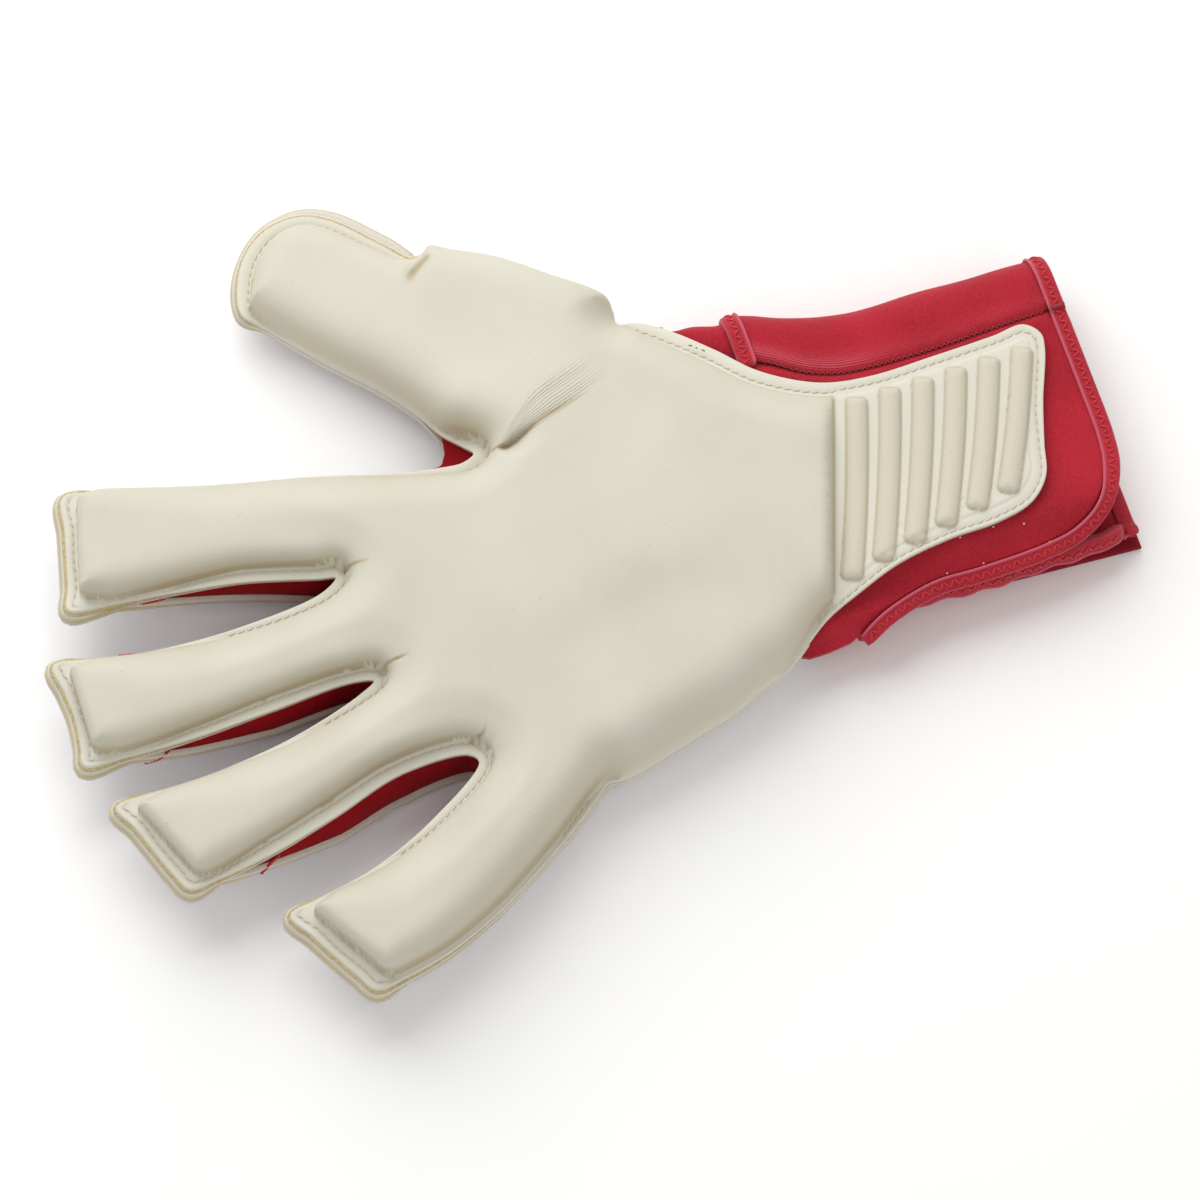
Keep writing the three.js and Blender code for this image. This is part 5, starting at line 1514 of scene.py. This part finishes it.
def panelPiece():
    rows = np.hstack([panelOutline, np.zeros((len(panelOutline), 5))])
    rows[:, 2] = panelSurface(panelOutline)
    out = outwardNormals(rows)
    verts, faces, edgeCount = fillSheet(rows, out, cuffValues["panelRings"], cuffValues["panelGrid"])
    base = panelSurface(verts)
    near = nearEdge(rows, verts)[:, 0]
    seamGap = np.array([abs(x - wrapSmooth(y)[0]) for x, y in verts])
    ripple = 0.22 * np.sin(verts[:, 1] * 0.17 + verts[:, 0] * 0.1) * np.clip(near / 6, 0, 1)
    top = base + ripple + seamLift(seamGap)
    values = {"layer": np.zeros(len(verts))}
    rim = rimRows(rows, out, pv["clothThickness"], ((0.1, 0.1, 0.2, 0), (0.1, 0.1, 0.8, 0)))
    piece = sheetPiece("wrist_panel_knit", (verts, faces, top, values, edgeCount),
                       (verts, faces, base - pv["clothThickness"], values, edgeCount), rim, ("layer",))
    dress(piece, cuffCloth, ["wrist_panel"])
    return piece


wristPanel = panelPiece()

# a folded tape's section: across, up, and how much of the pale piping line it carries
tapeSection = [(-1.2, 0.72, 1), (-1.3, 0.92, 1), (-1.24, 1.14, 1), (-1.1, 1.24, 1), (-0.94, 1.14, 0.8),
               (-0.82, 0.94, 0.2), (-0.5, 0.9, 0), (-0.1, 0.94, 0), (0.4, 0.92, 0), (0.72, 0.86, 0),
               (0.9, 0.66, 0.4), (0.98, 0.35, 0.5), (1, 0, 0.3), (0.95, -0.45, 0), (0.7, -0.85, 0), (0, -1, 0),
               (-0.9, -0.95, 0), (-1.2, -0.9, 0), (-1.2, -0.72, 0), (-1.05, -0.66, 0), (-1.0, -0.3, 0),
               (-1.0, 0.3, 0), (-1.05, 0.68, 0)]


def bandPoint(place, a, b, lift=0.0):
    at, out, face = place
    return at + out * a * pv["bindingWidth"] / 2 + face * (b * pv["bindingThickness"] / 2 + lift)


def bandPiece(name, node, path):
    # the tape's two ends are rounded in
    rings = []
    for index, place in enumerate(path):
        end = min(index, len(path) - 1 - index)
        size = (0.5, 0.86)[end] if end < 2 else 1
        rings.append([tuple(bandPoint(place, a * (0.6 + 0.4 * size), b * size)) for a, b, _ in tapeSection])
    piece = loftRings(name, rings, {"piping": [[mark for _, _, mark in tapeSection]] * len(rings)})
    dress(piece, tapeCloth, [node])
    return piece


def zigzag(path, middle=-0.12, swing=0.5, pitch=2.9):
    # stitches from side to side along the tape's top
    places = np.array([np.concatenate(place) for place in path])
    lengths = np.concatenate([[0], np.cumsum(np.linalg.norm(np.diff(places[:, :3], axis=0), axis=1))])
    wanted = np.arange(0.8, lengths[-1] - 0.8, pitch / 2)
    rows = np.stack([np.interp(wanted, lengths, places[:, c]) for c in range(9)], axis=1)
    spots = [bandPoint((row[:3], row[3:6], row[6:9]), middle + swing * (-1) ** k, 0.92, 0.16)
             for k, row in enumerate(rows)]
    return [(p, q, tuple(row[6:9])) for p, q, row in zip(spots, spots[1:], rows)]


def panelBindingPath():
    path = []
    heights = panelSurface(panelBound)
    # it starts under the wrap's end tape, and turns down a little on the free side
    for i, (x, y) in enumerate(panelBound):
        before, after = panelBound[max(0, i - 1)], panelBound[min(len(panelBound) - 1, i + 1)]
        out = np.array((before[1] - after[1], after[0] - before[0], 0))
        out /= np.linalg.norm(out)
        at = np.array((x, y, heights[i] - pv["clothThickness"] / 2))
        at = at + out * (pv["seamGap"] + pv["bindingWidth"] / 2)
        lean = 0.45 * float(smooth((-12 - x) / 14))
        face = np.array((0, 0, 1.0)) + out * lean
        face /= np.linalg.norm(face)
        path.append((at, np.cross(face, np.cross(out, face)), face))
    return path


def wrapBindingPath(first, last, edgeY, way):
    path = []
    line = wrapLine(edgeY)
    for x, z, nx, nz in line[first:last + 1]:
        reach = pv["seamGap"] + pv["bindingWidth"] / 2
        path.append((np.array((x, edgeY + way * reach, z)), np.array((0.0, way, 0)), np.array((nx, 0, nz))))
    at, out, face = path[0]
    # its start lies over the panel's tape
    lapped = [(at + np.array((dx, 0, dz)), out, face) for dx, dz in ((-1.8, 0.25), (-1.2, 0.4), (-0.5, 0.35))]
    return lapped + path


def slitBindingPath():
    path = []
    start = wristY - 0.13 * pv["cuffLength"]
    for y in np.linspace(start, clothEnd + 1.0, 90):
        x, z, _, _ = wrapLine(y)[-1]
        wave = (0.5 * math.sin(y * 0.16) + 0.35 * math.sin(y * 0.62 + 1)) * min(1, (y - clothEnd) / 12)
        at = np.array((x + wave, y, z + pv["seamGap"] + pv["bindingWidth"] / 2))
        path.append((at, np.array((0.35, 0, 0.94)), np.array((-0.94, 0, 0.35))))
    return path


lastPoint = len(wrapLine(clothEnd)) - 1
tapePaths = {
    "panel_binding": panelBindingPath(),
    "cuff_end_binding": wrapBindingPath(0, lastPoint - 3, clothEnd, -1),
    "wrap_hem": wrapBindingPath(0, foldCount - 4, hemLine, 1),
    "slit_binding": slitBindingPath(),
}
tapes = [bandPiece(node + "_tape", node, path) for node, path in tapePaths.items()]


def seamStitches():
    # a dark zigzag in the groove between the panel and the wrap
    ys = np.arange(clothEnd + 1.5, hemLine - 0.5, 0.8)
    spots = [(wrapSmooth(y)[0] + 0.15 + 0.5 * (-1) ** k, y, cuffValues["panelTop"] - 0.42)
             for k, y in enumerate(ys)]
    return [(p, q, (0, 0, 1)) for p, q in zip(spots, spots[1:])]


def bartackStitches():
    # a tight bar over the end tapes where the seam meets them
    place = tapePaths["cuff_end_binding"][2]
    spots = [bandPoint(place, -1.15 + 0.14 * k, 1.08, 0.2) + np.array((0.75 * (-1) ** k, 0, 0))
             for k in range(15)]
    return [(p, q, (0, 0, 1)) for p, q in zip(spots, spots[1:])]


stitchPiece("tape_zigzag_stitches", [s for path in tapePaths.values() for s in zigzag(path)], redThread,
            0.72)
stitchPiece("wrist_seam_stitches", seamStitches() + bartackStitches(), darkThread, 0.42)
print("cuff and bindings made")


# Columns: y, the palm's edge, the fold's outer x, its top and its foot
goreSections = [(-55, 37.0, 58.7, 19.3, 6.5), (-50, 42.5, 58.8, 19.0, 6.5), (-46, 46.5, 59.2, 18.6, 7.0),
                (-42, 50.2, 59.9, 18.0, 7.5), (-38, 54.2, 60.7, 17.3, 8.5), (-34.5, 57.6, 61.2, 16.2, 10.5)]


goreValues = {
    "from": -55, "to": -34.5, "rings": 26,
    "puff": 0.35, "puffPace": 0.55, "thickness": 1.1, "lap": 3.5,
}


def gorePiece():
    # a soft fold that comes out from under the hem and runs out at the palm's edge
    gv = goreValues
    rings = []
    table = np.array(goreSections)
    for y in np.linspace(gv["from"], gv["to"], gv["rings"]):
        edge, outer, top, foot = (float(np.interp(y, table[:, 0], table[:, c])) for c in (1, 2, 3, 4))
        puff = gv["puff"] * math.sin((y - gv["from"]) * gv["puffPace"])
        half = (top - foot) / 2
        turn = min(half, (outer - edge) * 0.6)
        rim, inner = [], []
        for k in range(19):
            angle = k / 18 * math.pi
            bend = (math.sin(angle), math.cos(angle))
            x, z = outer - turn + (turn + puff) * bend[0], foot + half + half * bend[1]
            rim.append((x, y, z))
            inner.append((x - gv["thickness"] * bend[0], y, z - gv["thickness"] * bend[1]))
        rim.insert(0, (edge - gv["lap"], y, top - 0.4))
        inner.insert(0, (edge - gv["lap"], y, top - 1.5))
        rings.append(rim + inner[::-1])
    piece = loftRings("thumb_gore_knit", rings, {"stretch": [[0.0] * len(ring) for ring in rings]})
    dress(piece, cuffCloth, ["thumb_gore"])
    return piece


gore = gorePiece()


def strapPiece():
    corners = [cuffPoint(0.5, 1), cuffPoint(0.5, 0.33), cuffPoint(-0.35, 0.33), cuffPoint(-0.388, 1)]
    outline = closedPath(corners, 2.5)
    rows = np.hstack([np.array(outline), np.zeros((len(outline), 5))])
    rows[:, 2] = pv["strapThickness"] - 0.3
    out = outwardNormals(rows)
    verts, faces, edgeCount = fillSheet(rows, out, cuffValues["strapRings"], cuffValues["strapGrid"])
    top = pv["strapThickness"] + 0 * verts[:, 0]
    top[:edgeCount] = rows[:, 2]
    values = {"layer": np.zeros(len(verts))}
    rim = rimRows(rows, out, 1.4, ((0.1, 0.1, 0.3, 0), (0.1, 0.1, 0.7, 0)))
    under = np.zeros(len(verts))
    under[:edgeCount] = 0.3
    piece = sheetPiece("closure_strap_laminate", (verts, faces, top, values, edgeCount),
                       (verts, faces, under, values, edgeCount), rim, ("layer",))
    dress(piece, strapCloth, ["closure_strap"])
    return piece


strap = strapPiece()
print("strap made")

stageValues = {"size": 3.0, "paper": {"Base Color": "#FDFDFC", "Roughness": 0.9}}
lightValues = {
    "key": {"power": 14.5, "size": 1.3, "up": 0.8, "left": 0.35, "high": 0.95},
    "fill": {"power": 3.0, "size": 1.4, "up": -0.7, "left": -0.5, "high": 1.0},
    "world": "#F7F6F4", "worldStrength": 0.56,
}


def addLight(name, values):
    data = bpy.data.lights.new(name, "AREA")
    data.energy = values["power"]
    data.size = values["size"]
    light = bpy.data.objects.new(name, data)
    flatUp = Vector((pictureUp.x, pictureUp.y, 0)).normalized()
    place = flatUp * values["up"] - pictureRight * values["left"] + Vector((0, 0, values["high"]))
    light.location = place
    light.rotation_euler = (-place).to_track_quat("-Z", "Y").to_euler()
    scene.collection.objects.link(light)


def buildStage():
    bm = bmesh.new()
    bmesh.ops.create_grid(bm, x_segments=1, y_segments=1, size=stageValues["size"])
    floor = newPiece("pale_floor", bm)
    material, tree = newMaterial("pale_floor_paper")
    floor.data.materials.append(finishMaterial(material, tree, stageValues["paper"]))
    addLight("keyLight", lightValues["key"])
    addLight("fillLight", lightValues["fill"])
    world = bpy.data.worlds.new("softStudio")
    world.use_nodes = True
    background = world.node_tree.nodes["Background"]
    background.inputs["Color"].default_value = linear(lightValues["world"])
    background.inputs["Strength"].default_value = lightValues["worldStrength"]
    scene.world = world
    scene.view_settings.view_transform = "Standard"


buildStage()
print("stage built")
